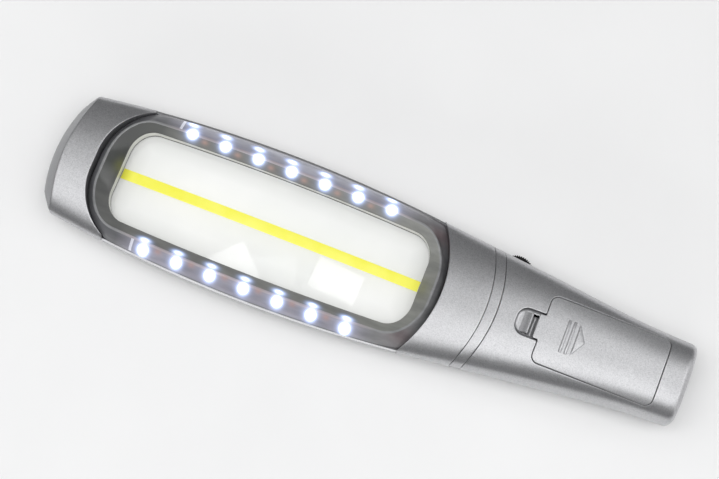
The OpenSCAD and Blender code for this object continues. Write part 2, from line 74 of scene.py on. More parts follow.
BODY_LEN = (CAD_BOX[1][0] - CAD_BOX[0][0]) / MM
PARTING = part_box("back_shell")[1][2] / MM  # height where front and back mouldings meet
HEAD_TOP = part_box("head_end_cap")[1][2] / MM
HANDLE_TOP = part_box("handle_front_shell")[1][2] / MM
HALF_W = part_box("back_shell")[1][1] / MM
WALL, THIN_WALL = 1.8, 0.3
HORN_SHARE = 0.42  # wall thickness of a horn beside the window, as a share of the horn's width
WIDEST_X, SIDE_R = 97, 620  # where the head is widest, and the radius of its bowed sides
TAPER = 0.121  # half width lost per millimetre along the handle
TAPER_X = WIDEST_X + SIDE_R * TAPER
TAPER_W = HALF_W - (TAPER_X - WIDEST_X) ** 2 / (2 * SIDE_R)
FLARE_X = 245  # from here the handle's sides flare out a little
FLARE_W = TAPER_W - TAPER * (FLARE_X - TAPER_X)
FLARE_R = 330
END_ROUND = 3
RISE = (150, 225)  # over this stretch the head's section turns into the handle's
HEAD_SQUARE, HANDLE_SQUARE, BACK_SQUARE = 2.3, 3.4, 4  # powers of the sections' superellipses
BACK_DEPTH = PARTING + 1.2  # the back's section is cut off flat by the table
DRAFT = 0.205  # the back shell draws in by this much per millimetre below the parting line
BACK_WALL = 1.2
TIP_R = 62
TIP_BELLY = 7  # height where the head's end face stands out furthest
TIP_TOP, TIP_FOOT = (6.7, 12.6), (4.6, 7.3)  # how far it falls back above and below, over what height
CORNER_CUT = ((6.2, 22.4), (10.4, 27))  # the head's corners are cut off along the line through these

WINDOW_X = (20.2, 175.6)  # where the silver mouldings stop
WINDOW_END = (27.6, 4)  # radius of the far end's arcs, and their distance from the axis
WINDOW_NECK_R = 52  # radius of the neck's edge round the window
SEAM_R, SEAM_X, SEAM_GAP = 66, (194.8, 199.3), 0.09  # the neck's two curved seams

# bar outlines: first x, last x, half width, bow radius, corner length, corner width
OPENING = (31.2, 166.1, 21.8, 1350, 9.5, 11)
CREST = (23.4, 172.1, 26.4, 1000, 15, 19)
SHOULDER = (21.3, 174.4, 30.6, 800, 22, 25)
CREST_Z, SHOULDER_Z, LIP_Z, FOOT_LEDGE = 17.2, 15.3, 16, 1.0
LENS_Z, RIM_T, LENS_TOP, LENS_R = 8.5, 1.6, 12.3, 1230  # underside and thickness of its flange, its dome
LENS_X = (OPENING[0] + OPENING[1]) / 2

DOOR_X = (218.6, 269.7)
DOOR_W, DOOR_R, DOOR_GAP, DOOR_T = 28.8, 3, 0.25, 1.6
TAB_X, POCKET_X, POCKET_W, POCKET_R = 216.2, 207.5, 11.6, 4.5  # the door's tab and the latch's pocket
POCKET_TOP, POCKET_FLOOR, POCKET_UNDER = 23.1, 22.2, 21.2

WHEEL = [[v / MM for v in corner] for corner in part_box("thumbwheel")]
WHEEL_X, WHEEL_Y = (WHEEL[0][0] + WHEEL[1][0] + BODY_LEN) / 2, (WHEEL[0][1] + WHEEL[1][1]) / 2
WHEEL_R, WHEEL_Z = (WHEEL[1][0] - WHEEL[0][0]) / 2, (WHEEL[0][2], WHEEL[1][2])
WHEEL_TEETH, WHEEL_BORE, WHEEL_GAP = 48, 1.5, 0.5
LED_X0, LED_PITCH, LED_COUNT, LED_Y = 52.5, 15, 7, 26.7
CELLS_X, SLEEVE_HALF = 243, 14  # middle of the cells, and half the length of their printed sleeve


def ease(x, x0, x1):
    t = np.clip((x - x0) / (x1 - x0), 0, 1)
    return t * t * (3 - 2 * t)


def half_width(x):
    bowed = HALF_W - (x - WIDEST_X) ** 2 / (2 * SIDE_R)
    straight = TAPER_W - TAPER * (x - TAPER_X)
    flared = FLARE_W - TAPER * (x - FLARE_X) + (x - FLARE_X) ** 2 / (2 * FLARE_R)
    return np.where(x < TAPER_X, bowed, np.where(x < FLARE_X, straight, flared))


def squareness(x, side):
    front = HEAD_SQUARE + (HANDLE_SQUARE - HEAD_SQUARE) * ease(x, *RISE)
    return front if side > 0 else np.full_like(front, BACK_SQUARE)


def end_inset(x):
    d = np.clip(x - BODY_LEN + END_ROUND, 0, END_ROUND)
    return END_ROUND - np.sqrt(END_ROUND**2 - d * d)


def skin(x, a, side=1):
    """Points of the body's skin: a goes from 0 at the +Y parting line to pi at the -Y one."""
    x, a = np.broadcast_arrays(np.asarray(x, float), np.asarray(a, float))
    power = 2 / squareness(x, side)
    w = half_width(x) - end_inset(x)
    h = (HEAD_TOP + (HANDLE_TOP - HEAD_TOP) * ease(x, *RISE) - PARTING) if side > 0 else BACK_DEPTH
    h = h - end_inset(x)
    c, s = np.cos(a), np.clip(np.sin(a), 0, 1)
    y = w * np.sign(c) * np.abs(c) ** power
    z = PARTING + h * s**power if side > 0 else np.maximum(0, PARTING - h * s**power)
    y = y - np.sign(c) * DRAFT * np.clip(PARTING - z, 0, None) * np.minimum(1, 4 * np.abs(c))
    return np.stack([x, y, z], -1)


def angle_at(x, y):
    """The angle a of the front skin over the plan point x, y."""
    ratio = np.clip(np.abs(y) / half_width(x), 0, 1)
    return np.arccos(np.sign(y) * ratio ** (squareness(x, 1) / 2))


def skin_z(x, y):
    x, y = np.asarray(x, float), np.asarray(y, float)
    return skin(x, angle_at(x, y))[..., 2]


def x_where(reached, a, x0, x1, side=1):
    """Along each line of the skin, the x between x0 and x1 where reached(points) turns true."""
    low, high = np.full_like(a, x0), np.full_like(a, x1)
    for _ in range(40):
        mid = (low + high) / 2
        past = reached(skin(mid, a, side))
        high, low = np.where(past, mid, high), np.where(past, low, mid)
    return (low + high) / 2


def tip_radius(z, turn):
    """Plan radius of the head's end face at height z, turned from the axis; each corner is cut off flat."""
    above = TIP_TOP[0] * (np.clip(z - TIP_BELLY, 0, None) / TIP_TOP[1]) ** 1.25
    below = TIP_FOOT[0] * (1 - np.sqrt(1 - (np.clip(TIP_BELLY - z, 0, TIP_BELLY) / TIP_FOOT[1]) ** 2))
    (x0, y0), (x1, y1) = CORNER_CUT
    across = math.atan2(x1 - x0, y1 - y0)
    reach = (TIP_R - x0) * math.cos(across) + y0 * math.sin(across)
    corner = reach / np.clip(np.cos(np.abs(turn) - across), 0.3, 1)
    return np.minimum(TIP_R - above - below, corner)


def inside_tip(p):
    turn = np.arctan2(p[..., 1], TIP_R - p[..., 0])
    return np.hypot(TIP_R - p[..., 0], p[..., 1]) < tip_radius(p[..., 2], turn)


def tip_rows(crease, count):
    """Rows of the end face from the parting line to the crease where the skin begins."""
    turn = np.arctan2(crease[:, 1], TIP_R - crease[:, 0])
    rows = []
    for t in np.linspace(0, 1, count, endpoint=False):
        z = PARTING + (crease[:, 2] - PARTING) * t
        r = tip_radius(z, turn)
        rows.append(np.stack([TIP_R - r * np.cos(turn), r * np.sin(turn), z], -1))
    return rows


def skin_rows(x0, x1, a, count, side=1):
    return [skin(x0 + (x1 - x0) * t, a, side) for t in np.linspace(0, 1, count)]


def horn_wall(x):
    """Wall thickness of the silver mouldings, thinner where they run out in horns beside the window."""
    horn = half_width(np.array(x)) - foot_half(np.array(x))
    return float(np.clip(HORN_SHARE * horn, THIN_WALL, WALL))


def drop_rows(edge, count):
    """Rows straight down, or up, from an edge to the parting line."""
    shares = np.linspace(0, 1, count + 1)[1:]
    return [np.column_stack([edge[:, :2], edge[:, 2] + (PARTING - edge[:, 2]) * t]) for t in shares]


# ---------- meshes ----------

WELD = 0.002
RIM_FADE = 1.5  # bevels fade out over this height above the parting line
BEVELLED, CRISP = math.radians(35), math.radians(50)  # sharper edges are bevelled, or shaded crisp
EVEN_PASSES, EVEN_RATIO = 24, 1.15  # how far bevel weights may differ from one edge to the next


def new_mesh(bm):
    mesh = bpy.data.meshes.new("mesh")
    bm.to_mesh(mesh)
    bm.free()
    return mesh


def add_net(bm, net, around=False, closed=False, slot=0):
    """Quads through rows of points; around joins each row's ends, closed the last row to the first."""
    rows = [[bm.verts.new(p) for p in row] for row in net]
    if closed:
        rows.append(rows[0])
    for r in range(len(rows) - 1):
        n = len(rows[r])
        for i in range(n if around else n - 1):
            j = (i + 1) % n
            face = bm.faces.new((rows[r][i], rows[r][j], rows[r + 1][j], rows[r + 1][i]))
            face.material_index = slot
    return rows


def weld(bm):
    bmesh.ops.remove_doubles(bm, verts=bm.verts, dist=WELD)
    bmesh.ops.recalc_face_normals(bm, faces=bm.faces)


def wall_of(blocks, thickness, core, inner_slot=0):
    """A closed wall: its outer face runs through the blocks of points, its inner face lies inside that.

    The thickness is a number or a function of x, and core is a point inside the body."""
    bm = bmesh.new()
    for block in blocks:
        add_net(bm, block)
    weld(bm)
    out = sum((f.calc_center_median() - Vector(core)).dot(f.normal) * f.calc_area() for f in bm.faces)
    if out < 0:
        bmesh.ops.reverse_faces(bm, faces=bm.faces)
    inner = {}
    outer_faces, rims = list(bm.faces), [e for e in bm.edges if e.is_boundary]
    for v in list(bm.verts):
        normals = np.array([f.normal[:] for f in v.link_faces])
        t = thickness(v.co.x) if callable(thickness) else thickness
        step = np.linalg.lstsq(normals, np.full(len(normals), t), rcond=0.25)[0]
        step *= min(1, 1.8 * t / max(np.linalg.norm(step), 1e-6))
        inner[v] = v.co - Vector(step)
    inner = {v: bm.verts.new(co) for v, co in inner.items()}
    for f in outer_faces:
        face = bm.faces.new([inner[v] for v in reversed(f.verts)])
        face.material_index = inner_slot
    for e in rims:
        a, b = e.verts
        bm.faces.new((a, b, inner[b], inner[a]))
    bmesh.ops.recalc_face_normals(bm, faces=bm.faces)
    return new_mesh(bm)


def solid_net(net, closed=True, slot=0):
    """A solid whose rows run round it; closed joins the last row to the first."""
    bm = bmesh.new()
    add_net(bm, net, True, closed, slot)
    weld(bm)
    return new_mesh(bm)


def prism(outline, low, high, axis="z", slot=0):
    """A closed prism over an outline; axis names the direction from low to high."""
    bm = bmesh.new()
    outline = np.asarray(outline, float)
    at = "xyz".index(axis)
    rings = [[bm.verts.new(np.insert(p, at, h)) for p in outline] for h in (low, high)]
    bm.faces.new(rings[0])
    bm.faces.new(rings[1])
    for i in range(len(outline)):
        j = (i + 1) % len(outline)
        bm.faces.new((rings[0][i], rings[0][j], rings[1][j], rings[1][i]))
    bmesh.ops.recalc_face_normals(bm, faces=bm.faces)
    for f in bm.faces:
        f.material_index = slot
    return new_mesh(bm)


def capped(net):
    """A closed bar whose rows of points run along it, with a face at each end."""
    bm = bmesh.new()
    rows = add_net(bm, net, closed=True)
    for end in (0, -1):
        bm.faces.new([row[end] for row in rows[:-1]])
    weld(bm)
    return new_mesh(bm)


def turned(profile, centre):
    """A closed ring turned about a vertical axis from a profile of radius and height."""
    return solid_net([at_height(arc(*centre, r, 0, 360, 49)[:-1], z) for r, z in profile])


def joined(meshes):
    bm = bmesh.new()
    for mesh in meshes:
        bm.from_mesh(mesh)
        bpy.data.meshes.remove(mesh)
    return new_mesh(bm)


def to_frame(mesh):
    """From millimetres off the head tip to the shared frame's metres."""
    mesh.transform(Matrix.Scale(MM, 4) @ Matrix.Translation((-BODY_LEN / 2, 0, 0)))
    return mesh


def applied(obj):
    """The object's mesh with its modifiers applied."""
    graph = bpy.context.evaluated_depsgraph_get()
    mesh = bpy.data.meshes.new_from_object(obj.evaluated_get(graph))
    obj.modifiers.clear()
    obj.data = mesh
    return obj


def standing(mesh, name="part"):
    obj = bpy.data.objects.new(name, mesh)
    bpy.context.scene.collection.objects.link(obj)
    return obj


def cut(mesh, cutters):
    """The mesh less the cutters."""
    tool, body = standing(joined(cutters)), standing(mesh)
    boolean = body.modifiers.new("cut", "BOOLEAN")
    boolean.object = tool
    boolean.solver = "EXACT"
    boolean.use_self = True
    mesh = applied(body).data
    bpy.data.objects.remove(tool)
    bpy.data.objects.remove(body)
    return mesh


def even_out(bm, weight):
    """Lowers bevel weights where needed, so that they change little from one edge to the next."""
    bevelled = [v for v in bm.verts if sum(e[weight] > 0 for e in v.link_edges) > 1]
    for _ in range(EVEN_PASSES):
        for v in bevelled:
            edges = [e for e in v.link_edges if e[weight] > 0]
            limit = min(e[weight] for e in edges) * EVEN_RATIO
            for e in edges:
                e[weight] = min(e[weight], limit)


def softened(mesh, width, whole_rim=False):
    """The mesh with its sharp edges rounded, apart from the hidden rim on the parting line."""
    bm = bmesh.new()
    bm.from_mesh(mesh)
    weight = bm.edges.layers.float.new("bevel_weight_edge")
    for e in bm.edges:
        on_rim = all(abs(v.co.z - PARTING) < 0.05 for v in e.verts)
        sharp = len(e.link_faces) == 2 and e.calc_face_angle() > BEVELLED
        room = min(n.calc_length() for v in e.verts for n in v.link_edges)
        lift = 1 if whole_rim else min(1, max(v.co.z - PARTING for v in e.verts) / RIM_FADE)
        e[weight] = max(0, min(1, 0.7 * room / width) * lift) if sharp and (whole_rim or not on_rim) else 0
    even_out(bm, weight)
    bm.to_mesh(mesh)
    bm.free()
    obj = standing(mesh)
    bevel = obj.modifiers.new("edge", "BEVEL")
    bevel.width = width
    bevel.segments = 2
    bevel.limit_method = "WEIGHT"
    bevel.use_clamp_overlap = False
    mesh = applied(obj).data
    bpy.data.objects.remove(obj)
    return mesh


def piece(name, mesh, materials, body, node):
    """A finished piece, smooth-shaded, riding on its body in place of a CAD node."""
    mesh = to_frame(mesh)
    mesh.name = name
    for m in materials:
        mesh.materials.append(m)
    mesh.shade_smooth()
    bm = bmesh.new()
    bm.from_mesh(mesh)
    for e in bm.edges:
        if len(e.link_faces) == 2 and e.calc_face_angle() > CRISP:
            e.smooth = False
    bm.to_mesh(mesh)
    bm.free()
    obj = standing(mesh, name)
    weighted = obj.modifiers.new("normals", "WEIGHTED_NORMAL")
    weighted.keep_sharp = True
    weighted.weight = 60
    applied(obj)
    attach(obj, body)
    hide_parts(node)
    return obj


# ---------- outlines in plan ----------


def arc(cx, cy, r, start, end, count=16):
    t = np.radians(np.linspace(start, end, count))
    return np.stack([cx + r * np.cos(t), cy + r * np.sin(t)], -1)


def resampled(points, count, turn=2.0):
    """Points along a path, closer where it turns: a radian counts as turn millimetres."""
    points = np.asarray(points, float)
    keep = np.append(True, np.linalg.norm(np.diff(points, axis=0), axis=1) > 1e-6)
    points = points[keep]
    steps = np.diff(points, axis=0)
    heading = np.unwrap(np.arctan2(steps[:, 1], steps[:, 0]))
    bend = np.abs(np.diff(heading)) * turn / 2
    measure = np.linalg.norm(steps, axis=1)
    measure[:-1] += bend
    measure[1:] += bend
    at = np.append(0, np.cumsum(measure))
    want = np.linspace(0, at[-1], count + 1)
    return np.stack([np.interp(want, at, points[:, k]) for k in (0, 1)], -1)


def moved_out(outline, distance):
    """A closed outline moved away from its inside."""
    ahead, behind = np.roll(outline, -1, 0), np.roll(outline, 1, 0)
    t = (ahead - outline) / np.linalg.norm(ahead - outline, axis=1)[:, None]
    u = (outline - behind) / np.linalg.norm(outline - behind, axis=1)[:, None]
    normal = np.stack([-(t + u)[:, 1], (t + u)[:, 0]], -1)
    return outline + distance * normal / np.linalg.norm(normal, axis=1)[:, None]


def grown(s, g):
    return (s[0] - g, s[1] + g, s[2] + g, s[3], s[4] + g, s[5] + g)


def bar_half(s, x):
    h = s[2] - (x - WIDEST_X) ** 2 / (2 * s[3])
    d = np.clip(np.maximum(s[0] + s[4] - x, x - s[1] + s[4]), 0, s[4])
    return h - s[5] + s[5] * np.sqrt(1 - (d / s[4]) ** 2)


def foot_half(x):
    """Half width of the clear cover's foot, which ends in arcs under the silver mouldings."""
    r, y = WINDOW_END
    d0 = np.clip(WINDOW_X[0] + r - x, 0, r)
    d1 = np.clip(x - WINDOW_X[1] + WINDOW_NECK_R, 0, WINDOW_NECK_R)
    tip = np.where(d0 > 0, y + np.sqrt(r * r - d0 * d0), HALF_W)
    neck = np.where(d1 > 0, np.sqrt(WINDOW_NECK_R**2 - d1 * d1), HALF_W)
    return np.minimum(half_width(x) - FOOT_LEDGE, np.minimum(tip, neck))


SIDE_STEPS, END_STEPS = 96, 10


def around_bar(x0, x1, half):
    """A closed outline from its half width: along +Y, across the end, back along -Y, across the start."""
    t = np.linspace(0, math.pi, SIDE_STEPS + 1)
    x = (x0 + x1) / 2 - (x1 - x0) / 2 * np.cos(t)
    y = half(x)
    e = np.linspace(1, -1, END_STEPS + 1)[1:-1]
    last = np.stack([np.full(len(e), x1), y[-1] * e], -1)
    first = np.stack([np.full(len(e), x0), -y[0] * e], -1)
    return np.concatenate([np.stack([x, y], -1), last, np.stack([x, -y], -1)[::-1], first])


def bar_outline(s, growth=0.0):
    s = grown(s, growth)
    return around_bar(s[0], s[1], lambda x: bar_half(s, x))


def foot_outline(inset=0.0):
    x1 = WINDOW_X[1] - WINDOW_NECK_R + math.sqrt(WINDOW_NECK_R**2 - WINDOW_END[1] ** 2)
    line = around_bar(WINDOW_X[0], x1, foot_half)
    return moved_out(line, -inset) if inset else line


def at_height(outline, z):
    return np.column_stack([outline, np.broadcast_to(z, len(outline))])


def rounded_profile(rings):
    """Rings of a closed profile, each given as (ring, radius of its corner)."""
    out = []
    for i, (ring, r) in enumerate(rings):
        if not r:
            out.append(ring)
            continue
        before, after = rings[i - 1][0] - ring, rings[(i + 1) % len(rings)][0] - ring
        a = ring + before * np.minimum(r / np.linalg.norm(before, axis=1), 0.45)[:, None]
        b = ring + after * np.minimum(r / np.linalg.norm(after, axis=1), 0.45)[:, None]
        for t in (0, 0.33, 0.67, 1):
            out.append((1 - t) ** 2 * a + 2 * t * (1 - t) * ring + t * t * b)
    return out


def between(rings, steps):
    """The same closed profile with extra rings between each two."""
    out = []
    for i, ring in enumerate(rings):
        after = rings[(i + 1) % len(rings)]
        gap = np.linalg.norm(after - ring, axis=1).mean()
        n = max(1, round(gap / steps))
        out += [ring + (after - ring) * k / n for k in range(n)]
    return out


# ---------- materials ----------

ACRYLIC_IOR = 1.49


class Value:
    """A number or colour worked out by a material's nodes; arithmetic on it adds Math nodes."""

    def __init__(self, nodes, socket):
        self.nodes, self.socket = nodes, socket

    def __add__(self, other):
        return self.nodes.math("ADD", self, other)

    def __sub__(self, other):
        return self.nodes.math("SUBTRACT", self, other)

    def __rsub__(self, other):
        return self.nodes.math("SUBTRACT", other, self)

    def __mul__(self, other):
        return self.nodes.math("MULTIPLY", self, other)

    def __truediv__(self, other):
        return self.nodes.math("DIVIDE", self, other)

    def __abs__(self):
        return self.nodes.math("ABSOLUTE", self)


class Nodes:
    """A material's node tree, with short calls to add nodes and join them."""

    def __init__(self, name):
        self.material = bpy.data.materials.new(name)
        self.material.use_nodes = True
        self.tree = self.material.node_tree
        self.tree.nodes.clear()
        self.place = self.add("ShaderNodeTexCoord").outputs["Object"]

    def feed(self, socket, value):
        """Links a value to the socket, or sets a constant on it."""
        if isinstance(value, Value):
            value = value.socket
        if isinstance(value, bpy.types.NodeSocket):
            self.tree.links.new(value, socket)
        else:
            socket.default_value = (*value, 1) if socket.type == "RGBA" else value

    def add(self, kind, inputs=None, **settings):
        node = self.tree.nodes.new(kind)
        for key, value in settings.items():
            setattr(node, key, value)
        for key, value in (inputs or {}).items():
            self.feed(node.inputs[key], value)
        return node

    def result(self, kind, inputs, output=0, **settings):
        return Value(self, self.add(kind, inputs, **settings).outputs[output])

    def axes(self):
        """x from the head tip, y and z, in millimetres."""
        part = self.add("ShaderNodeSeparateXYZ", {"Vector": self.place}).outputs
        x, y, z = [Value(self, part[k]) * (1 / MM) for k in range(3)]
        return x + BODY_LEN / 2, y, z

    def math(self, operation, *values, clamp=False):
        return self.result("ShaderNodeMath", dict(enumerate(values)), operation=operation, use_clamp=clamp)

    def noise(self, size, detail=2.0, stretch=(1, 1, 1), roughness=0.5):
        """Noise whose grain is about size millimetres."""
        scaled = self.result("ShaderNodeMapping", {"Vector": self.place, "Scale": stretch})
        inputs = {"Vector": scaled, "Scale": 1 / (size * MM), "Detail": detail, "Roughness": roughness}
        return self.result("ShaderNodeTexNoise", inputs, "Fac")

    def spread(self, value, low, high, from_low=0.3, from_high=0.7):
        """A value that goes evenly from low to high while the given one goes from from_low to from_high."""
        ends = {"From Min": from_low, "From Max": from_high, "To Min": low, "To Max": high}
        return self.result("ShaderNodeMapRange", {"Value": value, **ends}, "Result")

    def mix(self, factor, a, b):
        return self.result("ShaderNodeMix", {0: factor, 6: a, 7: b}, 2, data_type="RGBA")

    def bump(self, height, strength, distance):
        inputs = {"Height": height, "Strength": strength, "Distance": distance * MM}
        return self.result("ShaderNodeBump", inputs)

    def principled(self, **inputs):
        return self.result("ShaderNodeBsdfPrincipled", {k.replace("_", " "): v for k, v in inputs.items()})

    def clear_over(self, opaque, tint, solid):
        """See-through plastic: solid is the share that hides what is behind, and the rest is tinted."""
        through = self.result("ShaderNodeBsdfTransparent", {"Color": tint})
        return self.result("ShaderNodeMixShader", {0: solid, 1: through, 2: opaque})

    def done(self, shader):
        self.add("ShaderNodeOutputMaterial", {"Surface": shader})
        return self.material


def silver_paint(name="silver_paint", metal=0.9):
    """Silver metallic plastic: a satin mirror broken up by fine flakes, with painted shade on the head's
    end face.
    """
    n = Nodes(name)
    grain, cloud = n.noise(0.42, 3, roughness=0.6), n.noise(22, 2)
    flakes = n.result("ShaderNodeTexVoronoi", {"Vector": n.place, "Scale": 1 / (0.4 * MM)}, "Color")
    tone = n.result("ShaderNodeSeparateColor", {"Color": flakes})
    base = n.mix(n.spread(grain, 0, 1), (0.38, 0.385, 0.395), (0.57, 0.57, 0.585))
    base = n.mix(n.spread(tone, 0.0, 0.4, 0.0, 1.0), base, (0.70, 0.70, 0.71))
    normal_x = n.result("ShaderNodeSeparateXYZ", {"Vector": n.add("ShaderNodeTexCoord").outputs["Normal"]})
    # Painted shade: faces of the head's end turned toward -X get a darker base colour.
    end_face_painted_shade = n.spread(normal_x, 1, 0, -0.72, -0.5) * n.spread(n.axes()[0], 1, 0, 14, 18)
    shader = n.principled(
        Base_Color=n.mix(end_face_painted_shade * 0.55, base, (0.10, 0.105, 0.115)),
        Metallic=metal,
        Roughness=n.spread(cloud, 0.33, 0.37) + n.spread(grain, -0.02, 0.03),
        IOR=1.5,
        Normal=n.bump(n.noise(0.5, 2), 0.10, 0.03),
    )
    return n.done(shader)


def inside_plastic():
    """Unpainted moulded plastic inside the shells, near black partly as painted shade for the hollows seen
    through the clear cover.
    """
    n = Nodes("inside_plastic")
    mottle = n.noise(2.5, 3)
    shader = n.principled(
        # Near black: partly painted shade for the hollows behind the clear cover.
        Base_Color=n.mix(n.spread(mottle, 0, 1), (0.0315, 0.0322, 0.035), (0.045, 0.046, 0.05)),
        Roughness=n.spread(mottle, 0.47, 0.63),
        Normal=n.bump(n.noise(0.3, 2), 0.2, 0.05),
    )
    return n.done(shader)


def spot(n, x, y, at, size):
    """A soft spot, 1 at its middle; at and size are in millimetres."""
    dx, dy = (x - at[0]) / size[0], (y - at[1]) / size[1]
    return n.math("EXPONENT", (dx * dx + dy * dy) * -1.0)


def row_spots(n, size, left, right, half=0.0):
    """Soft spots over both rows of LEDs, shifted by left and right; half = 0.5 puts them between LEDs."""
    x, y, _ = n.axes()
    side = n.math("SIGN", y)

    def by_side(a, b):
        return side * ((a - b) / 2) + (a + b) / 2

    start = by_side(left[0], right[0]) + (LED_X0 + half * LED_PITCH)
    index = n.math("ROUND", (x - start) / LED_PITCH)
    index = n.math("MINIMUM", n.math("MAXIMUM", index, 0.0), LED_COUNT - 1.0 - 2 * half)
    return spot(n, x, y, (index * LED_PITCH + start, by_side(LED_Y + left[1], right[1] - LED_Y)), size)


def bezel_tone(n, x, y, along, rows, **_):
    """The slope round the lens, paler toward the neck, with painted shade toward +Y at the head's end,
    painted light along the LEDs, and a glimpse of the line's yellow at both ends.
    """
    # Painted shade: at the head's end the bezel darkens toward +Y, the side turned from the light.
    head = n.mix(n.spread(y, 0, 1, -16, 2), (0.145, 0.147, 0.142), (0.05, 0.053, 0.049))
    base = n.mix(along, head, (0.27, 0.275, 0.255))
    # Painted light from the LEDs along their rows.
    base = n.mix(rows * 0.45, base, (0.27, 0.27, 0.255))
    near, far = spot(n, x, y, (30.6, 1.5), (2.4, 3.6)), spot(n, x, y, (167.5, -1.0), (2.6, 4.0))
    return n.mix((near + far) * 0.4, base, (0.22, 0.225, 0.05))


def crest_tone(n, rows, **_):
    """The crest line between the bezel and the flank: a painted highlight, paler still with painted light
    along the LEDs.
    """
    # Painted highlight on the crest, lighter with painted light along the LED rows.
    return n.mix(rows, (0.33, 0.335, 0.34), (0.48, 0.43, 0.45))


def flank_tone(n, x, y, z, along, rows):
    """The flank: painted shade at its ends, deepest toward the head, low down and on the +Y side; painted
    light on the +Y edge and along the LEDs, where the white boards beneath also show; a line over its foot
    and the red wire's tint.
    """
    # Painted shade at the flank's ends: darker toward the head and low down.
    high = n.spread(z, 0, 1, 13.0, 16.9)
    ends = n.mix(along, (0.16, 0.162, 0.17), n.mix(high, (0.30, 0.302, 0.305), (0.42, 0.422, 0.425)))
    # More painted shade on the +Y side, the side turned from the light.
    shade = n.spread(y, 0.42, 0.85, -14, 6)
    ends = n.mix(shade, ends, n.mix(along, (0.14, 0.142, 0.15), (0.15, 0.15, 0.156)))
    # Painted light toward the +Y edge.
    ends = n.mix(n.spread(y, 0, 0.55, 24, 30), ends, (0.46, 0.46, 0.48))
    # Pale along the LEDs: the white boards beneath, with painted light from the LEDs, most at the +Y edge.
    base = n.mix(rows * 0.92, ends, (0.37, 0.36, 0.42))
    base = n.mix(rows * n.spread(y, 0, 0.7, 26.5, 30.5), base, (0.66, 0.67, 0.74))
    up = z - PARTING
    base = n.mix(n.spread(up, 0, 0.7, 0.95, 1.1) * n.spread(up, 1, 0, 1.3, 1.5), base, (0.06, 0.06, 0.065))
    base = n.mix(n.spread(up, 1, 0, 0.9, 1.25) * rows, base, (0.46, 0.47, 0.46))
    red = spot(n, x, abs(y), (166.0, 22.5), (6.0, 4.0))
    return n.mix(red * 0.32, base, (0.16, 0.045, 0.05))


def smoke_clear(name, tone, solid):
    """Polished smoke-grey clear plastic, with the light that scatters in it over each LED painted on as
    glow, painted reflections of the LEDs, and a painted glow line at the head end of the LED boards.
    """
    n = Nodes(name)
    x, y, z = n.axes()
    haze = n.noise(3.5, 3, stretch=(0.25, 1, 1))
    rows = n.spread(x, 0, 1, 41, 50) * n.spread(x, 1, 0, 146, 156)
    base = tone(n, x=x, y=y, z=z, along=n.spread(x, 0, 1, 30, 170), rows=rows)
    base = n.mix(n.spread(haze, 0, 0.35), base, (0.05, 0.05, 0.055))
    resistors = row_spots(n, (1.6, 1.1), (0.0, -3.0), (0.0, -0.2), half=0.5)
    # Painted light: glow spots over the LEDs, and painted reflections of the LEDs just beside them.
    core = row_spots(n, (1.85, 1.8), (1.4, -1.5), (1.3, -1.55))
    halo = row_spots(n, (3.5, 3.2), (1.3, -1.1), (0.9, -1.3))
    led_reflection = row_spots(n, (2.3, 0.95), (-0.1, 2.8), (0.7, 2.55))
    # A painted glow line over the head end of each LED board.
    bar = n.math("LESS_THAN", abs(x - 48.3), 0.6) * n.math("LESS_THAN", abs(abs(y) - 27.8), 2.3)
    white = n.math("ADD", core * 1.6 + bar * 0.8, led_reflection * 0.55, clamp=True)
    gloss = n.principled(
        Base_Color=n.mix(resistors * 0.5, base, (0.52, 0.30, 0.24)),
        Roughness=n.spread(haze, 0.08, 0.14),
        IOR=ACRYLIC_IOR,
        Emission_Color=n.mix(white, (0.36, 0.52, 1.0), (1.0, 1.0, 1.0)),
        Emission_Strength=core * 6.0 + led_reflection * 2.3 + halo * 0.38 + bar * 0.45,
    )
    shown = n.math("MAXIMUM", n.math("ADD", halo * 0.6, solid - 0.1, clamp=True), solid)
    return n.done(n.clear_over(gloss, (0.78, 0.78, 0.80), shown))


def opening_wall_painted_light():
    """The clear cover's wall round the opening: pale with painted light from the lens's side, with a dark
    line at its lip and one at the lens.
    """
    n = Nodes("opening_wall_painted_light")
    x, y, z = n.axes()
    streak = n.noise(2, 2, stretch=(0.3, 0.3, 1.5))
    # Painted light: a pale base for the light the wall takes in through the lens.
    base = n.mix(n.spread(streak, 0, 1), (0.62, 0.63, 0.58), (0.78, 0.78, 0.72))
    out = x - LENS_X
    above = z - LENS_TOP + (out * out + y * y) / (2.0 * LENS_R)
    base = n.mix(n.spread(above, 1, 0, 0.35, 0.6), base, (0.03, 0.03, 0.03))
    base = n.mix(n.spread(z, 0, 1, LIP_Z - 0.75, LIP_Z - 0.45), base, (0.11, 0.115, 0.11))
    gloss = n.principled(Base_Color=base, Roughness=n.spread(streak, 0.12, 0.2), IOR=ACRYLIC_IOR)
    return n.done(n.clear_over(gloss, (0.9, 0.9, 0.88), 0.88))


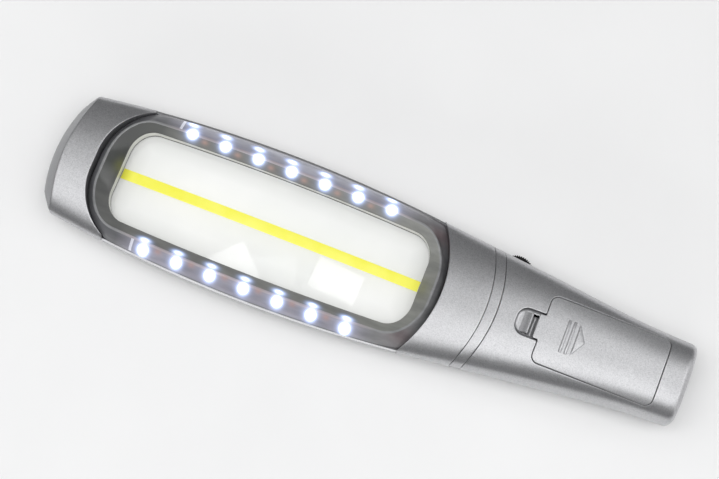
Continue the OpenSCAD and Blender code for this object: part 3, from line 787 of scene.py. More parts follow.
def lens_acrylic():
    """Clear acrylic that shows what is below, faintly milky, with a painted glow of the LEDs' light and
    painted shade toward its rim.
    """
    n = Nodes("lens_acrylic")
    x, y, _ = n.axes()
    veil = n.noise(30, 2)
    # Painted shade: the lens darkens over its last 9 mm toward the opening's edge.
    beyond = n.math("MAXIMUM", abs(x - LENS_X) - (OPENING[1] - OPENING[0]) / 2, abs(y) - OPENING[2])
    base = n.mix(n.spread(veil, 0, 1), (0.80, 0.81, 0.80), (0.88, 0.88, 0.87))
    gloss = n.principled(
        Base_Color=n.mix(n.spread(beyond, 0, 0.5, -9.0, 0.5), base, (0.50, 0.51, 0.49)),
        Roughness=n.spread(veil, 0.008, 0.02),
        IOR=ACRYLIC_IOR,
        # A painted glow: the lens gives off faint light of its own for the LEDs' light in it.
        Emission_Color=(1.0, 1.0, 1.0),
        Emission_Strength=0.25,
    )
    facing = n.result("ShaderNodeLayerWeight", {"Blend": 0.3}, "Facing")
    return n.done(n.clear_over(gloss, (0.99, 0.995, 0.99), n.spread(facing, 0.5, 0.8, 0.0, 1.0)))


def yellow_film():
    """Translucent yellow under the lens's gloss, with painted shade at its head end where it runs under the
    bezel, and a faint painted glow.
    """
    n = Nodes("yellow_film")
    wash = n.noise(9, 3)
    base = n.mix(n.spread(wash, 0, 1), (0.94, 0.91, 0.09), (0.97, 0.95, 0.16))
    # Painted shade over the first 5 mm at the head end, under the bezel.
    base = n.mix(n.spread(n.axes()[0], 1, 0, OPENING[0], OPENING[0] + 5), base, (0.62, 0.60, 0.04))
    film = n.principled(
        Base_Color=base,
        Roughness=n.spread(wash, 0.16, 0.24),
        IOR=ACRYLIC_IOR,
        # A faint painted glow in the film's own colour.
        Emission_Color=base,
        Emission_Strength=0.08,
    )
    return n.done(n.clear_over(film, (0.98, 0.96, 0.35), 0.86))


def speckled(name, dark, light, size, rough, metal=0.0, stretch=(1, 1, 1), gloss=0.5):
    """A moulded, turned or printed surface with a fine speckle in colour, roughness and height."""
    n = Nodes(name)
    grain = n.noise(size, 3, stretch)
    shader = n.principled(
        Base_Color=n.mix(n.spread(grain, 0, 1), dark, light),
        Metallic=metal,
        Roughness=n.spread(grain, rough - 0.06, rough + 0.06),
        Specular_IOR_Level=gloss,
        Normal=n.bump(n.noise(size / 2, 2, stretch), 0.15, 0.04),
    )
    return n.done(shader)


def lit_led():
    """A lit LED: white package with a phosphor that glows, brighter at its middle."""
    n = Nodes("lit_led")
    grain = n.noise(0.4, 2)
    shader = n.principled(
        Base_Color=n.mix(n.spread(grain, 0, 1), (0.86, 0.86, 0.8), (0.95, 0.95, 0.92)),
        Roughness=n.spread(grain, 0.35, 0.5),
        Emission_Color=(0.86, 0.92, 1.0),
        Emission_Strength=row_spots(n, (1.8, 1.5), (0.0, 0.0), (0.0, 0.0)) * 9.0 + 2.0,
    )
    return n.done(shader)


def cell_jacket():
    """A plain printed sleeve with a gold band at each end."""
    n = Nodes("cell_jacket")
    grain = n.noise(1.2, 3)
    base = n.mix(n.spread(grain, 0, 1), (0.05, 0.075, 0.10), (0.09, 0.12, 0.15))
    band = n.math("GREATER_THAN", abs(n.axes()[0] - CELLS_X), SLEEVE_HALF)
    base = n.mix(band, base, (0.55, 0.38, 0.16))
    return n.done(n.principled(Base_Color=base, Roughness=n.spread(grain, 0.22, 0.34), IOR=1.45))


SILVER = silver_paint()
# The door's copy of the silver paint has less metal and so looks lighter: painted light for the light the
# door catches.
DOOR_SILVER_PAINTED_LIGHT = silver_paint("door_silver_painted_light", 0.76)
INSIDE = inside_plastic()
SMOKE = [
    smoke_clear("smoke_bezel", bezel_tone, 0.92),
    smoke_clear("smoke_crest", crest_tone, 0.85),
    smoke_clear("smoke_flank", flank_tone, 0.94),
]
EDGE = opening_wall_painted_light()
LENS = lens_acrylic()
YELLOW = yellow_film()
BLACK = speckled("black_plastic", (0.004, 0.004, 0.004), (0.010, 0.010, 0.011), 0.6, 0.5, gloss=0.15)
SPECKLED = {  # dark and light colour, grain in millimetres, roughness, metal, stretch
    "white_board": ((0.62, 0.63, 0.68), (0.74, 0.75, 0.80), 1.5, 0.35),
    "resistor": ((0.28, 0.12, 0.07), (0.42, 0.20, 0.13), 0.5, 0.4),
    "wire_red": ((0.42, 0.02, 0.02), (0.62, 0.04, 0.035), 0.8, 0.45),
    "wire_black": ((0.012, 0.012, 0.012), (0.03, 0.03, 0.03), 0.8, 0.45),
    "green_board": ((0.02, 0.13, 0.05), (0.04, 0.22, 0.09), 1.5, 0.3),
    "dark_component": ((0.02, 0.02, 0.022), (0.05, 0.05, 0.055), 0.5, 0.5),
    "pot_body": ((0.04, 0.08, 0.18), (0.08, 0.13, 0.26), 0.8, 0.45),
    "shaft_metal": ((0.5, 0.5, 0.52), (0.72, 0.72, 0.74), 0.5, 0.28, 1.0, (1, 1, 4)),
    "tray_plastic": ((0.035, 0.035, 0.04), (0.07, 0.07, 0.075), 0.9, 0.5),
    "contact_metal": ((0.62, 0.61, 0.58), (0.80, 0.79, 0.76), 0.7, 0.24, 1.0),
    "screw_steel": ((0.30, 0.30, 0.31), (0.48, 0.48, 0.49), 0.4, 0.33, 1.0),
}
PLAIN_PARTS = {name: speckled(name, *look) for name, look in SPECKLED.items()}
PLAIN_PARTS.update(led_white=lit_led(), cell_jacket=cell_jacket())


# ---------- silver mouldings ----------


def angles(count=96, first=0.0, last=math.pi):
    return np.linspace(first, last, count + 1)


def head_end_cap():
    """Saddle over the head's end: end face, crown, and a curtain down the window's arc."""
    x_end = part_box("head_end_cap")[1][0] / MM + BODY_LEN / 2
    r, y = WINDOW_END
    corner = y + math.sqrt(r * r - (WINDOW_X[0] + r - x_end) ** 2)
    a1 = float(angle_at(np.array(x_end), np.array(corner)))
    sides = angles(5, 0, a1)
    a = np.concatenate([sides[:-1], angles(90, a1, math.pi - a1), math.pi - sides[-2::-1]])

    def in_window(p):
        from_centre = np.hypot(WINDOW_X[0] + r - p[..., 0], np.clip(np.abs(p[..., 1]) - y, 0, None))
        return (from_centre < r) | (p[..., 0] > x_end)

    x0 = x_where(inside_tip, a, -5, 30)
    x1 = np.minimum(x_where(in_window, a, 10, x_end + 1), x_end)
    net = tip_rows(skin(x0, a), 7) + skin_rows(x0, x1, a, 22)
    net += drop_rows(net[-1], 6)
    return softened(wall_of([net], horn_wall, (40, 0, 4), inner_slot=1), 0.22)


def neck_cover():
    """Silver moulding between the clear cover's window and the first neck seam."""
    a = angles(100)
    centre = WINDOW_X[1] - WINDOW_NECK_R
    x0 = x_where(lambda p: np.hypot(p[..., 0] - centre, p[..., 1]) > WINDOW_NECK_R, a, 150, 190)
    x1 = seam_line(a, 0, -SEAM_GAP)
    top = skin_rows(x0, x1, a, 22)
    return softened(wall_of([drop_rows(top[0], 6)[::-1] + top], horn_wall, (184, 0, 4), inner_slot=1), 0.12)


def seam_line(a, which, gap):
    """Where each line of the skin meets one side of a neck seam."""
    centre = SEAM_X[which] - SEAM_R
    return x_where(lambda p: np.hypot(p[..., 0] - centre, p[..., 1]) > SEAM_R + gap, a, 160, 215)


NOTCH_SHARE = 2 / 10.5  # height of the notch in the band's foot, as a share of the band's


def neck_band():
    """Strip between the two seams, notched at its -Y foot."""
    last = math.pi - math.asin(NOTCH_SHARE ** (HANDLE_SQUARE / 2.2))
    a = angles(96, 0, last)
    net = skin_rows(seam_line(a, 0, SEAM_GAP), seam_line(a, 1, -SEAM_GAP), a, 6)
    return softened(wall_of([net], WALL, (196, 0, 4), inner_slot=1), 0.12)


RING_X = (204.5, 274.5)  # the stretch of the handle whose skin is laid round the door's opening
RING_A = math.radians(38)
NX, NU = 44, 52


def door_sides(x0, x1, w, r, pocket_x, pocket_w, pocket_r, fillet=0.5):
    """The door's outline as four sides: +Y, far end, -Y, and the neck end with its tab or pocket."""
    h, p = w / 2, pocket_w / 2
    top = np.concatenate([arc(x0 + r, h - r, r, 135, 90), arc(x1 - r, h - r, r, 90, 45)])
    far = np.concatenate([arc(x1 - r, h - r, r, 45, 0), arc(x1 - r, r - h, r, 0, -45)])
    near = np.concatenate(
        [
            arc(x0 + r, r - h, r, -135, -180),
            arc(x0 - fillet, -p - fillet, fillet, 0, 90, 6),
            arc(pocket_x + pocket_r, pocket_r - p, pocket_r, -90, -180),
            arc(pocket_x + pocket_r, p - pocket_r, pocket_r, 180, 90),
            arc(x0 - fillet, p + fillet, fillet, -90, 0, 6),
            arc(x0 + r, h - r, r, 180, 135),
        ]
    )
    return [top, far, top[::-1] * (1, -1), near]


def sampled_loop(sides, nx, nu):
    """One closed loop over the four sides, with nx steps along the body and nu across it."""
    return np.concatenate([resampled(s, n)[:-1] for s, n in zip(sides, (nx, nu, nx, nu))])


def ring_loop(x0, x1, a0, nx, nu):
    """The same four sides of a rectangle in x and angle."""
    xs, us = np.linspace(x0, x1, nx + 1), np.linspace(a0, math.pi - a0, nu + 1)
    return np.concatenate(
        [
            np.stack([xs[:-1], np.full(nx, a0)], -1),
            np.stack([np.full(nu, x1), us[:-1]], -1),
            np.stack([xs[:0:-1], np.full(nx, math.pi - a0)], -1),
            np.stack([np.full(nu, x0), us[:0:-1]], -1),
        ]
    )


def ring_net(edge, first, target, rows):
    """Skin between a plan outline and a loop in x and angle, in closed rows."""
    net = [np.column_stack([edge, skin_z(edge[:, 0], edge[:, 1])])]
    start = np.stack([first[:, 0], angle_at(first[:, 0], first[:, 1])], -1)
    for t in np.linspace(0, 1, rows) ** 1.25:
        x, a = (start + (target - start) * t).T
        net.append(skin(x, a))
    return [np.concatenate([row, row[:1]]) for row in net]


def door_hole():
    return door_sides(
        DOOR_X[0] - DOOR_GAP, DOOR_X[1] + DOOR_GAP, DOOR_W + 2 * DOOR_GAP, DOOR_R + DOOR_GAP,
        POCKET_X, POCKET_W, POCKET_R,
    )


def rounded_end(turns):
    """Places along the handle's rounded end, by how far it has turned in degrees."""
    return [BODY_LEN - END_ROUND + END_ROUND * math.sin(math.radians(t)) for t in turns]


def handle_front_shell():
    """Handle moulding with the door's opening, the latch pocket and the rounded end."""
    hole = sampled_loop(door_hole(), NX, NU)
    target = ring_loop(*RING_X, RING_A, NX, NU)
    ring = ring_net(hole, moved_out(hole, 0.45), target, 10)

    def columns(a):
        x0 = seam_line(a, 1, SEAM_GAP)
        left = skin_rows(x0, RING_X[0], a, 8)
        middle = [skin(x, a) for x in np.linspace(*RING_X, NX + 1)]
        straight = skin_rows(RING_X[1], BODY_LEN - END_ROUND, a, 4)
        end = [skin(x, a) for x in rounded_end((12, 25, 38, 52, 68, 90))]
        return left, middle, straight + end + drop_rows(end[-1], 4)

    blocks = [ring]
    for a in (angles(14, 0, RING_A), angles(14, math.pi - RING_A, math.pi)):
        left, middle, right = columns(a)
        blocks.append(left + middle[1:] + right[1:])
    left, middle, right = columns(angles(NU, RING_A, math.pi - RING_A))
    blocks += [left, right]
    shell = softened(wall_of(blocks, WALL, (240, 0, 4), inner_slot=1), 0.2)
    return joined([cut(shell, [wheel_slot()]), *latch_pocket()])


def latch_pocket():
    """Sloping wall and floor of the pocket round the latch."""
    p, r = POCKET_W / 2, POCKET_R
    corners = arc(POCKET_X + r, r - p, r, -90, -180, 14), arc(POCKET_X + r, p - r, r, 180, 90, 14)
    line = np.concatenate([[(217.2, -p)], *corners, [(217.2, p)]])
    centre = np.array([POCKET_X + r, 0.0])

    def inset(d):
        towards = np.stack([np.clip(centre[0] - line[:, 0], 0, None), centre[1] - line[:, 1]], -1)
        towards[:, 1] = np.sign(towards[:, 1]) * np.clip(np.abs(towards[:, 1]) - (p - r), 0, None)
        length = np.maximum(np.linalg.norm(towards, axis=1), 1e-6)[:, None]
        return line + towards / length * d

    wall = [(-0.05, POCKET_TOP), (0.05, POCKET_FLOOR + 0.55), (0.55, POCKET_FLOOR + 0.1)]
    wall += [(1.2, POCKET_FLOOR), (1.2, POCKET_UNDER), (-1.2, POCKET_UNDER), (-1.2, POCKET_TOP)]
    floor = [(208.2, -4), (209.4, -4.8), (211, -4.8), (211, 4.8), (209.4, 4.8), (208.2, 4)]
    return [capped([at_height(inset(d), z) for d, z in wall]), prism(floor, POCKET_UNDER, POCKET_FLOOR)]


def wheel_slot():
    outline = arc(WHEEL_X, WHEEL_Y, WHEEL_R + WHEEL_GAP, 0, 360, 97)[:-1]
    return prism(outline, WHEEL_Z[0] - WHEEL_GAP, WHEEL_Z[1] + WHEEL_GAP)


SCREWS = ((13, -14), (13, 14), (184, -17), (184, 17), (206, -16), (275.4, 0))
BOSS_R, HEAD_R, SHANK_R = 3.2, 2.5, 1.3  # a boss, and its bores for the screw's head and shank
BOSS_FOOT, HEAD_SEAT = 0.9, 2.9


def back_shell():
    """Tray that everything rests in: flat underneath, open round the lens, with a boss for each screw."""
    a = angles(120)
    x0 = x_where(inside_tip, a, -5, 30, side=-1)
    end = BODY_LEN - END_ROUND
    face = tip_rows(skin(x0, a, -1), 8)
    middle = skin_rows(x0, end, a, 110, side=-1)
    rounded = [skin(x, a, -1) for x in rounded_end(range(15, 91, 15))]
    net = face + middle + rounded + drop_rows(rounded[-1], 4)
    shell = softened(wall_of([net], BACK_WALL, (140, 0, 11), inner_slot=1), 0.18, whole_rim=True)
    holes = [prism(arc(x, y, BOSS_R - 0.05, 0, 360, 49)[:-1], -1, 6) for x, y in SCREWS]
    shell = cut(shell, [prism(bar_outline(OPENING, 0.2), -1, 4), wheel_slot(), *holes])
    profile = [(HEAD_R, BOSS_FOOT), (BOSS_R, BOSS_FOOT), (BOSS_R, PARTING)]
    profile += [(SHANK_R, PARTING), (SHANK_R, HEAD_SEAT), (HEAD_R, HEAD_SEAT)]
    bosses = [turned(profile, place) for place in SCREWS]
    inner, outer = bar_outline(OPENING, 0.25), bar_outline(OPENING, 2.3)
    seat = [(inner, 0.7), (outer, 0.7), (outer, LENS_Z), (inner, LENS_Z)]
    seat = solid_net([at_height(ring, z) for ring, z in seat], slot=1)
    return joined([shell, seat, *bosses])


# ---------- head ----------


def led_cover():
    """Smoke-clear moulding: foot, sloping flank, crest line, bezel, and a wall down to the lens."""
    foot, opening = foot_outline(), bar_outline(OPENING)
    shoulder, crest = bar_outline(SHOULDER), bar_outline(CREST)
    outer = [
        (at_height(foot, PARTING + 0.02), 0.15),
        (at_height(foot, PARTING + 1), 0.35),
        (at_height(shoulder, SHOULDER_Z), 0.9),
        (at_height(crest, CREST_Z), 0.45),
        (at_height(bar_outline(CREST, -0.9), CREST_Z - 0.12), 0.25),
        (at_height(opening, LIP_Z), 0.35),
    ]
    wall = [(at_height(opening, LENS_Z + RIM_T), 0)]
    inner = [
        (at_height(bar_outline(OPENING, WALL), LENS_Z + RIM_T), 0),
        (at_height(bar_outline(OPENING, WALL), LIP_Z - 1.7), 0),
        (at_height(bar_outline(CREST, -WALL), CREST_Z - 2.2), 0.4),
        (at_height(bar_outline(SHOULDER, -WALL), SHOULDER_Z - 1.7), 0.4),
        (at_height(foot_outline(WALL), PARTING + 0.02), 0),
    ]
    mesh = solid_net(between(rounded_profile(outer + wall + inner), 1.3))
    for face in mesh.polygons:
        face.material_index = cover_zone(*face.center, face.normal.z)
    return mesh


def within(s, x, y):
    return s[0] < x < s[1] and abs(y) < float(bar_half(s, np.array(x)))


def cover_zone(x, y, z, up):
    """Which part of the cover a place is on: 0 bezel, 1 crest line, 2 flank, 3 wall of the opening."""
    if within(grown(OPENING, 0.4), x, y) and z < LIP_Z - 0.1 and abs(up) < 0.5:
        return 3
    if within(grown(CREST, -0.75), x, y):
        return 0
    return 1 if within(grown(CREST, 0.35), x, y) and z > CREST_Z - 1 else 2


def snap_hook(x, side):
    """Barbed leg that holds the clear cover in the back shell."""
    y = float(half_width(np.array(float(x)))) - WALL - 0.45
    profile = [(0, 12.6), (1.2, 12.6), (1.2, 10.9), (1.35, 10.4), (1.2, 10.0), (0.9, 9.6), (0, 9.6)]
    outline = [(side * (y - 1.2 + d), z) for d, z in profile]
    return prism(outline, x - 2, x + 2, "x")


HOOKS_X = (58, 74, 120, 136)


def dome_z(x, y, top, up=1):
    r2 = (x - LENS_X) ** 2 + y**2
    return top + up * (np.sqrt(LENS_R**2 - r2) - LENS_R)


def lens():
    """Bar lens with a shallow dome on each face and a flat flange round it."""
    inner, flange = bar_outline(OPENING, -0.3), bar_outline(OPENING, WALL - 0.1)
    spine = np.stack([np.clip(inner[:, 0], OPENING[0] + 20, OPENING[1] - 20), np.zeros(len(inner))], -1)
    bottom = LENS_Z + RIM_T - (LENS_TOP - LENS_Z)

    def face(top, up, shares):
        rows = []
        for t in shares:
            p = spine + (inner - spine) * t
            rows.append(at_height(p, dome_z(p[:, 0], p[:, 1], top, up)))
        return rows

    shares = np.linspace(0, 1, 15)
    net = face(LENS_TOP, 1, shares)
    net += [at_height(bar_outline(OPENING, -0.25), LENS_Z + RIM_T)]
    net += [at_height(flange, LENS_Z + RIM_T), at_height(flange, LENS_Z)]
    net += [at_height(bar_outline(OPENING, -0.25), LENS_Z)]
    net += face(bottom, -1, shares[::-1])
    return solid_net(net, closed=False)


def reading_line():
    """Thin film that follows the lens's dome, with softened long edges."""
    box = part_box("reading_line")
    x = np.linspace(box[0][0] / MM, box[1][0] / MM, 61) + BODY_LEN / 2
    half = (box[1][1] - box[0][1]) / 2 / MM
    section = [(-1, 0.0), (-1, 0.09), (-0.95, 0.15), (-0.5, 0.16), (0, 0.165)]
    section += [(-y, h) for y, h in section[-2::-1]]
    rows = [(y * half, h) for y, h in section]
    return capped([np.stack([x, np.full(61, y), dome_z(x, y, LENS_TOP) + h], -1) for y, h in rows])


# ---------- door, latch and wheel ----------

SIGN_H, SIGN_ROOT, SIGN_SLOPE = 0.32, 0.6, 0.3  # height over the skin, depth under it, and run of the sides
SIGN_BARS, SIGN_ARROW = (228.4, 230.7), (232.7, 236.9)  # x of both bars, and of the arrow's base and point
SIGN_HALF, BAR_HALF = 7, 0.65  # half the sign's width and half a bar's
DOOR_RING, DOOR_RING_A = 5, math.radians(73)  # the door's middle net stays this far inside its edge
HINGE_Z, HINGE_R, HINGE_T = 25.1, 2.9, 1.0
RIB_Z = (23.3, 21.7)
SPRING_X, SPRING_Z, SPRING_IN, SPRING_T, SPRING_W = 215.05, 19.8, 1.15, 0.8, 8.6


def on_skin(outline):
    """A low raised shape of the sign, whose top follows the skin."""
    outline = np.asarray(outline, float)
    z = skin_z(outline[:, 0], outline[:, 1])
    centre = outline.mean(0)
    inside = 1 if np.ptp(moved_out(outline, 0.01), axis=0).sum() < np.ptp(outline, axis=0).sum() else -1
    top = moved_out(outline, inside * SIGN_SLOPE)
    inner = centre + (top - centre) * 0.5
    middle = np.tile(centre, (len(outline), 1))
    rows = [
        at_height(middle, z.mean() - SIGN_ROOT),
        at_height(outline, z - SIGN_ROOT),
        at_height(outline, z),
        at_height(top, skin_z(top[:, 0], top[:, 1]) + SIGN_H),
        at_height(inner, skin_z(inner[:, 0], inner[:, 1]) + SIGN_H),
        at_height(middle, skin_z(*centre) + SIGN_H),
    ]
    return solid_net(rows, closed=False)


def loop(points, r=0.4):
    """A closed outline with each corner rounded."""
    points = np.asarray(points, float)
    out = []
    for i, p in enumerate(points):
        a, b = points[i - 1] - p, points[(i + 1) % len(points)] - p
        a, b = p + a / np.linalg.norm(a) * r, p + b / np.linalg.norm(b) * r
        for t in np.linspace(0, 1, 5):
            out.append((1 - t) ** 2 * a + 2 * t * (1 - t) * p + t * t * b)
    out = np.array(out)
    return resampled(np.concatenate([out, out[:1]]), 72, 0.4)[:-1]


def battery_door():
    """Door skin with a tab into the pocket, the raised sign, ribs, and curved tabs at its hinge line."""
    nx, nu = 44, 40
    sides = door_sides(*DOOR_X, DOOR_W, DOOR_R, TAB_X, POCKET_W - 1.2, 0.5, fillet=0.4)
    edge = sampled_loop(sides, nx, nu)
    x0, x1, a0 = DOOR_X[0] + DOOR_RING, DOOR_X[1] - DOOR_RING, DOOR_RING_A
    target = ring_loop(x0, x1, a0, nx, nu)
    # The net's lines are spaced as the tab's points are across the door, so that they do not cross there.
    steps = np.abs(np.diff(np.vstack([edge[-nu:], edge[:1]]), axis=0))
    across = np.append(0, np.cumsum(steps[:, 1] + 0.1 * steps[:, 0]))
    near = angle_at(np.full(nu + 1, x0), skin(x0, a0)[1] * (2 * across / across[-1] - 1))
    near[0], near[-1] = math.pi - a0, a0
    target[-nu:, 1] = near[:-1]
    ring = ring_net(edge, moved_out(edge, -0.45), target, 7)
    far = np.linspace(math.pi - a0, a0, nu + 1)
    shares = np.linspace(0, 1, nx + 1)
    middle = [skin(x0 + (x1 - x0) * t, (near + (far - near) * t)[::-1]) for t in shares]
    parts = [softened(wall_of([ring, middle], DOOR_T, (244, 0, 4), inner_slot=1), 0.15)]
    w = SIGN_HALF
    for x in SIGN_BARS:
        low, high = x - BAR_HALF, x + BAR_HALF
        parts.append(on_skin(loop([(low, -w), (high, -w), (high, w), (low, w)])))
    base, point = SIGN_ARROW
    parts.append(on_skin(loop([(base, -w), (point, 0), (base, w)])))
    outer = arc(DOOR_X[1], HINGE_Z, HINGE_R + HINGE_T, -155, -62, 14)
    tab = np.concatenate([outer, arc(DOOR_X[1], HINGE_Z, HINGE_R, -62, -155, 14)])
    top, bottom = RIB_Z
    rib = [(x0, top), (x1, top), (x1 - 0.6, bottom), (x0 + 0.6, bottom)]
    for y in (-8, 8):
        parts.append(prism(tab, y - 1.3, y + 1.3, "y"))
        parts.append(prism(rib, y - 0.5, y + 0.5, "y", slot=1))
    low, high = SPRING_X + SPRING_IN, SPRING_X + SPRING_IN + SPRING_T
    leg = [(low, SPRING_Z), (high, SPRING_Z), (high, 23.5), (low, 23.5)]
    parts.append(prism(leg, -SPRING_W / 2, SPRING_W / 2, "y"))
    return joined(parts)


def latch_spring():
    """The bent strip between the latch's lip and the door."""
    bend = np.concatenate(
        [
            arc(SPRING_X, SPRING_Z, SPRING_IN + SPRING_T, 180, 360, 24),
            arc(SPRING_X, SPRING_Z, SPRING_IN, 360, 180, 24),
        ]
    )
    return prism(bend, -SPRING_W / 2, SPRING_W / 2, "y")


def door_latch():
    """Blade, finger lip hollowed toward the neck, and the nose that catches under the pocket's floor."""
    blade = SPRING_X - SPRING_IN - SPRING_T
    profile = [
        (blade + SPRING_T, SPRING_Z), (blade + SPRING_T, 24.0), (blade + 0.45, 24.3), (blade - 0.3, 24.15),
        (212.0, 23.75), (211.0, 23.45), (210.3, 23.3), (210.35, 22.75), (210.6, 22.5), (blade, 22.5),
        (blade, SPRING_Z + 1), (blade - 1.4, SPRING_Z + 0.9), (blade - 1.4, SPRING_Z + 0.5),
        (blade, SPRING_Z),
    ]
    return prism(profile, -SPRING_W / 2, SPRING_W / 2, "y")


def thumbwheel():
    """Knurled wheel: rounded teeth, a chamfer on each face and a bore for the shaft."""
    t = np.linspace(0, 2 * math.pi, WHEEL_TEETH * 10, endpoint=False)
    wave = np.clip(np.cos(WHEEL_TEETH * t) * 1.6, -1, 1) * 0.5 - 0.5
    radius = WHEEL_R + 0.2
    low, high = WHEEL_Z
    profile = [
        (WHEEL_BORE, low, 0), (radius - 2, low, 0), (radius - 0.5, low, 0.2),
        (radius - 0.1, low + 0.35, 0.38), (radius, low + 0.6, 0.4), (radius, high - 0.6, 0.4),
        (radius - 0.1, high - 0.35, 0.38), (radius - 0.5, high, 0.2), (radius - 2, high, 0),
        (radius - 2.4, high - 0.3, 0), (2.6, high - 0.3, 0), (2.3, high, 0), (WHEEL_BORE, high, 0),
    ]
    net = []
    for r, z, depth in profile:
        out = r + wave * depth
        net.append(at_height(np.stack([WHEEL_X + out * np.cos(t), WHEEL_Y + out * np.sin(t)], -1), z))
    return solid_net(net)


def build():
    """All the detailed pieces, each in place of one CAD node."""
    shell, door = [SILVER, INSIDE], [DOOR_SILVER_PAINTED_LIGHT, INSIDE]
    cover = joined([led_cover(), *[snap_hook(x, side) for x in HOOKS_X for side in (-1, 1)]])
    latch, bend = softened(door_latch(), 0.12), softened(latch_spring(), 0.1)
    for name, mesh, look, body, slot, node in (
        ("head_end_cap_shell", head_end_cap(), shell, "case", "silver_plastic", "head_end_cap"),
        ("neck_cover_shell", neck_cover(), shell, "case", "silver_plastic", "neck_cover"),
        ("neck_band_strip", neck_band(), shell, "case", "silver_plastic", "neck_band"),
        ("handle_shell", handle_front_shell(), shell, "case", "silver_plastic", "handle_front_shell"),
        ("back_shell_tray", back_shell(), shell, "case", "silver_plastic", "back_shell"),
        ("led_cover_moulding", cover, [*SMOKE, EDGE], "case", "smoke_clear", "led_cover"),
        ("bar_lens", lens(), [LENS], "case", "lens_acrylic", "lens"),
        ("reading_line_film", reading_line(), [YELLOW], "case", "yellow_film", "reading_line"),
        ("battery_door_skin", battery_door(), door, "door", "silver_plastic", "battery_door"),
        ("door_latch_lip", latch, [SILVER], "latch", "silver_plastic", "door_latch"),
        ("thumbwheel_knurled", thumbwheel(), [BLACK], "dimmer", "black_wheel", "thumbwheel"),
    ):
        piece(name, mesh, look, body, node)
    spring = piece("latch_spring_bend", bend, [SILVER], "door", "latch_spring")
    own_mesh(spring)


def dress_cad_nodes():
    """Better materials for the CAD nodes that stay."""
    slots = {s["node"]: s["material_slot"] for s in frame["record"]["subparts"]}
    for name, node in NODE.items():
        if node.hide_render or slots[name] not in PLAIN_PARTS:
            continue
        if not node.material_slots:
            node.data.materials.append(None)
        for s in node.material_slots:
            s.material = PLAIN_PARTS[slots[name]]


build()
dress_cad_nodes()

# ---------- camera ----------

CAMERA_TILT = math.radians(12.66)  # from straight down
CAMERA_TURN = math.radians(21.4533)  # of the body's axis, seen from above
CAMERA_DISTANCE = 0.6368
CAMERA_LENS = 74.78
AIM = Vector((1.22, -13.46, 0)) * MM  # the body's centre, seen from the point aimed at


def make_camera():
    """The photo's camera, turned about the point under the picture's middle."""
    data = bpy.data.cameras.new("camera")
    data.sensor_width = 36
    data.lens = CAMERA_LENS
    data.clip_start = 0.01
    camera = bpy.data.objects.new("camera", data)
    bpy.context.scene.collection.objects.link(camera)
    turn = Matrix.Rotation(CAMERA_TURN, 4, "Z")
    stand = Vector((0, -math.sin(CAMERA_TILT), math.cos(CAMERA_TILT))) * CAMERA_DISTANCE
    look = Matrix.Translation(stand) @ Matrix.Rotation(CAMERA_TILT, 4, "X")
    camera.matrix_world = turn @ Matrix.Translation(-AIM) @ look
    bpy.context.scene.camera = camera


make_camera()

# ---------- floor and light ----------


def make_floor():
    """A pale sheet just under the body."""
    mesh = bpy.data.meshes.new("floor")
    mesh.from_pydata([(-2, -2, 0), (2, -2, 0), (2, 2, 0), (-2, 2, 0)], [], [(0, 1, 2, 3)])
    floor = bpy.data.objects.new("floor", mesh)
    floor.location.z = -0.0002
    bpy.context.scene.collection.objects.link(floor)
    n = Nodes("floor_paper")
    grain = n.noise(60, 2)
    base = n.mix(n.spread(grain, 0, 1), (0.89, 0.89, 0.89), (0.91, 0.91, 0.91))
    mesh.materials.append(n.done(n.principled(Base_Color=base, Roughness=0.7)))


make_floor()


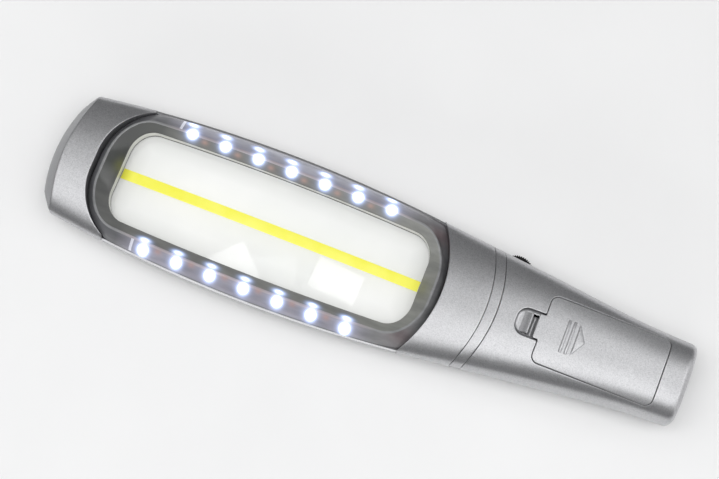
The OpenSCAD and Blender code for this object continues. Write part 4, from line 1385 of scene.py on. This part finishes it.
def area_light(name, at, size, power, aim=(0, 0, 0), glossy=True):
    """A rectangle of light; without an aim it faces straight down, square to the picture."""
    data = bpy.data.lights.new(name, "AREA")
    data.shape = "RECTANGLE"
    data.size, data.size_y = size
    data.energy = power
    light = bpy.data.objects.new(name, data)
    light.location = at
    light.visible_glossy = glossy
    if aim is None:
        light.rotation_euler = (0, 0, CAMERA_TURN)
    else:
        light.rotation_euler = (Vector(aim) - Vector(at)).to_track_quat("-Z", "Y").to_euler()
    bpy.context.scene.collection.objects.link(light)
    return light


WINDOW_FAR, WINDOW_RADIANCE = 2.0, 6.0


def mirrored(x, y, size, turn):
    """A small far light that the lens's dome mirrors to the camera at x, y, where it looks size large."""
    at = Vector(((x - BODY_LEN / 2) * MM, y * MM, float(dome_z(x, y, LENS_TOP)) * MM))
    view = (bpy.context.scene.camera.matrix_world.translation - at).normalized()
    normal = Vector(((x - LENS_X) / LENS_R, y / LENS_R, 1)).normalized()
    away = 2 * normal.dot(view) * normal - view
    grow = WINDOW_FAR * (1 / CAMERA_DISTANCE + 2 / (LENS_R * MM)) * MM
    power = WINDOW_RADIANCE * math.pi * size[0] * size[1] * grow**2
    light = area_light("window", at + WINDOW_FAR * away, (size[0] * grow, size[1] * grow), power, at)
    across = (Vector((1, 0, 0)) - away.x * away).normalized()
    facing = Matrix((across, away.cross(across), away)).transposed()
    light.rotation_euler = (facing @ Matrix.Rotation(math.radians(turn), 3, "Z")).to_euler()


area_light("overhead", (0.15, -0.17, 1.5), (2.4, 0.86), 10.5, None)
area_light("head_glow", (-0.54, -0.17, 1.5), (1.0, 0.5), 3.6, None)
area_light("handle_glow", (0.45, -0.05, 1.5), (0.8, 0.9), 1.6, None)
area_light("fill", (0, 0, 2.0), (3.0, 3.0), 12.3, None, glossy=False)
area_light("head_side", (-1.7, 0.1, 1.0), (2.0, 2.0), 8, glossy=False)
area_light("handle_side", (1.7, 0.1, 1.0), (2.0, 2.0), 9)
area_light("front_low", (-0.1, -2.0, 0.45), (2.0, 0.5), 13, glossy=False)
mirrored(91, -21, (20, 20), 45)
mirrored(133, -10.5, (24, 15), -4)

world = bpy.data.worlds.new("world")
bpy.context.scene.world = world
world.use_nodes = True
sky = world.node_tree.nodes["Background"].inputs
sky["Color"].default_value = (0.97, 0.98, 1, 1)
sky["Strength"].default_value = 0.16

bpy.context.scene.view_settings.view_transform = "Standard"
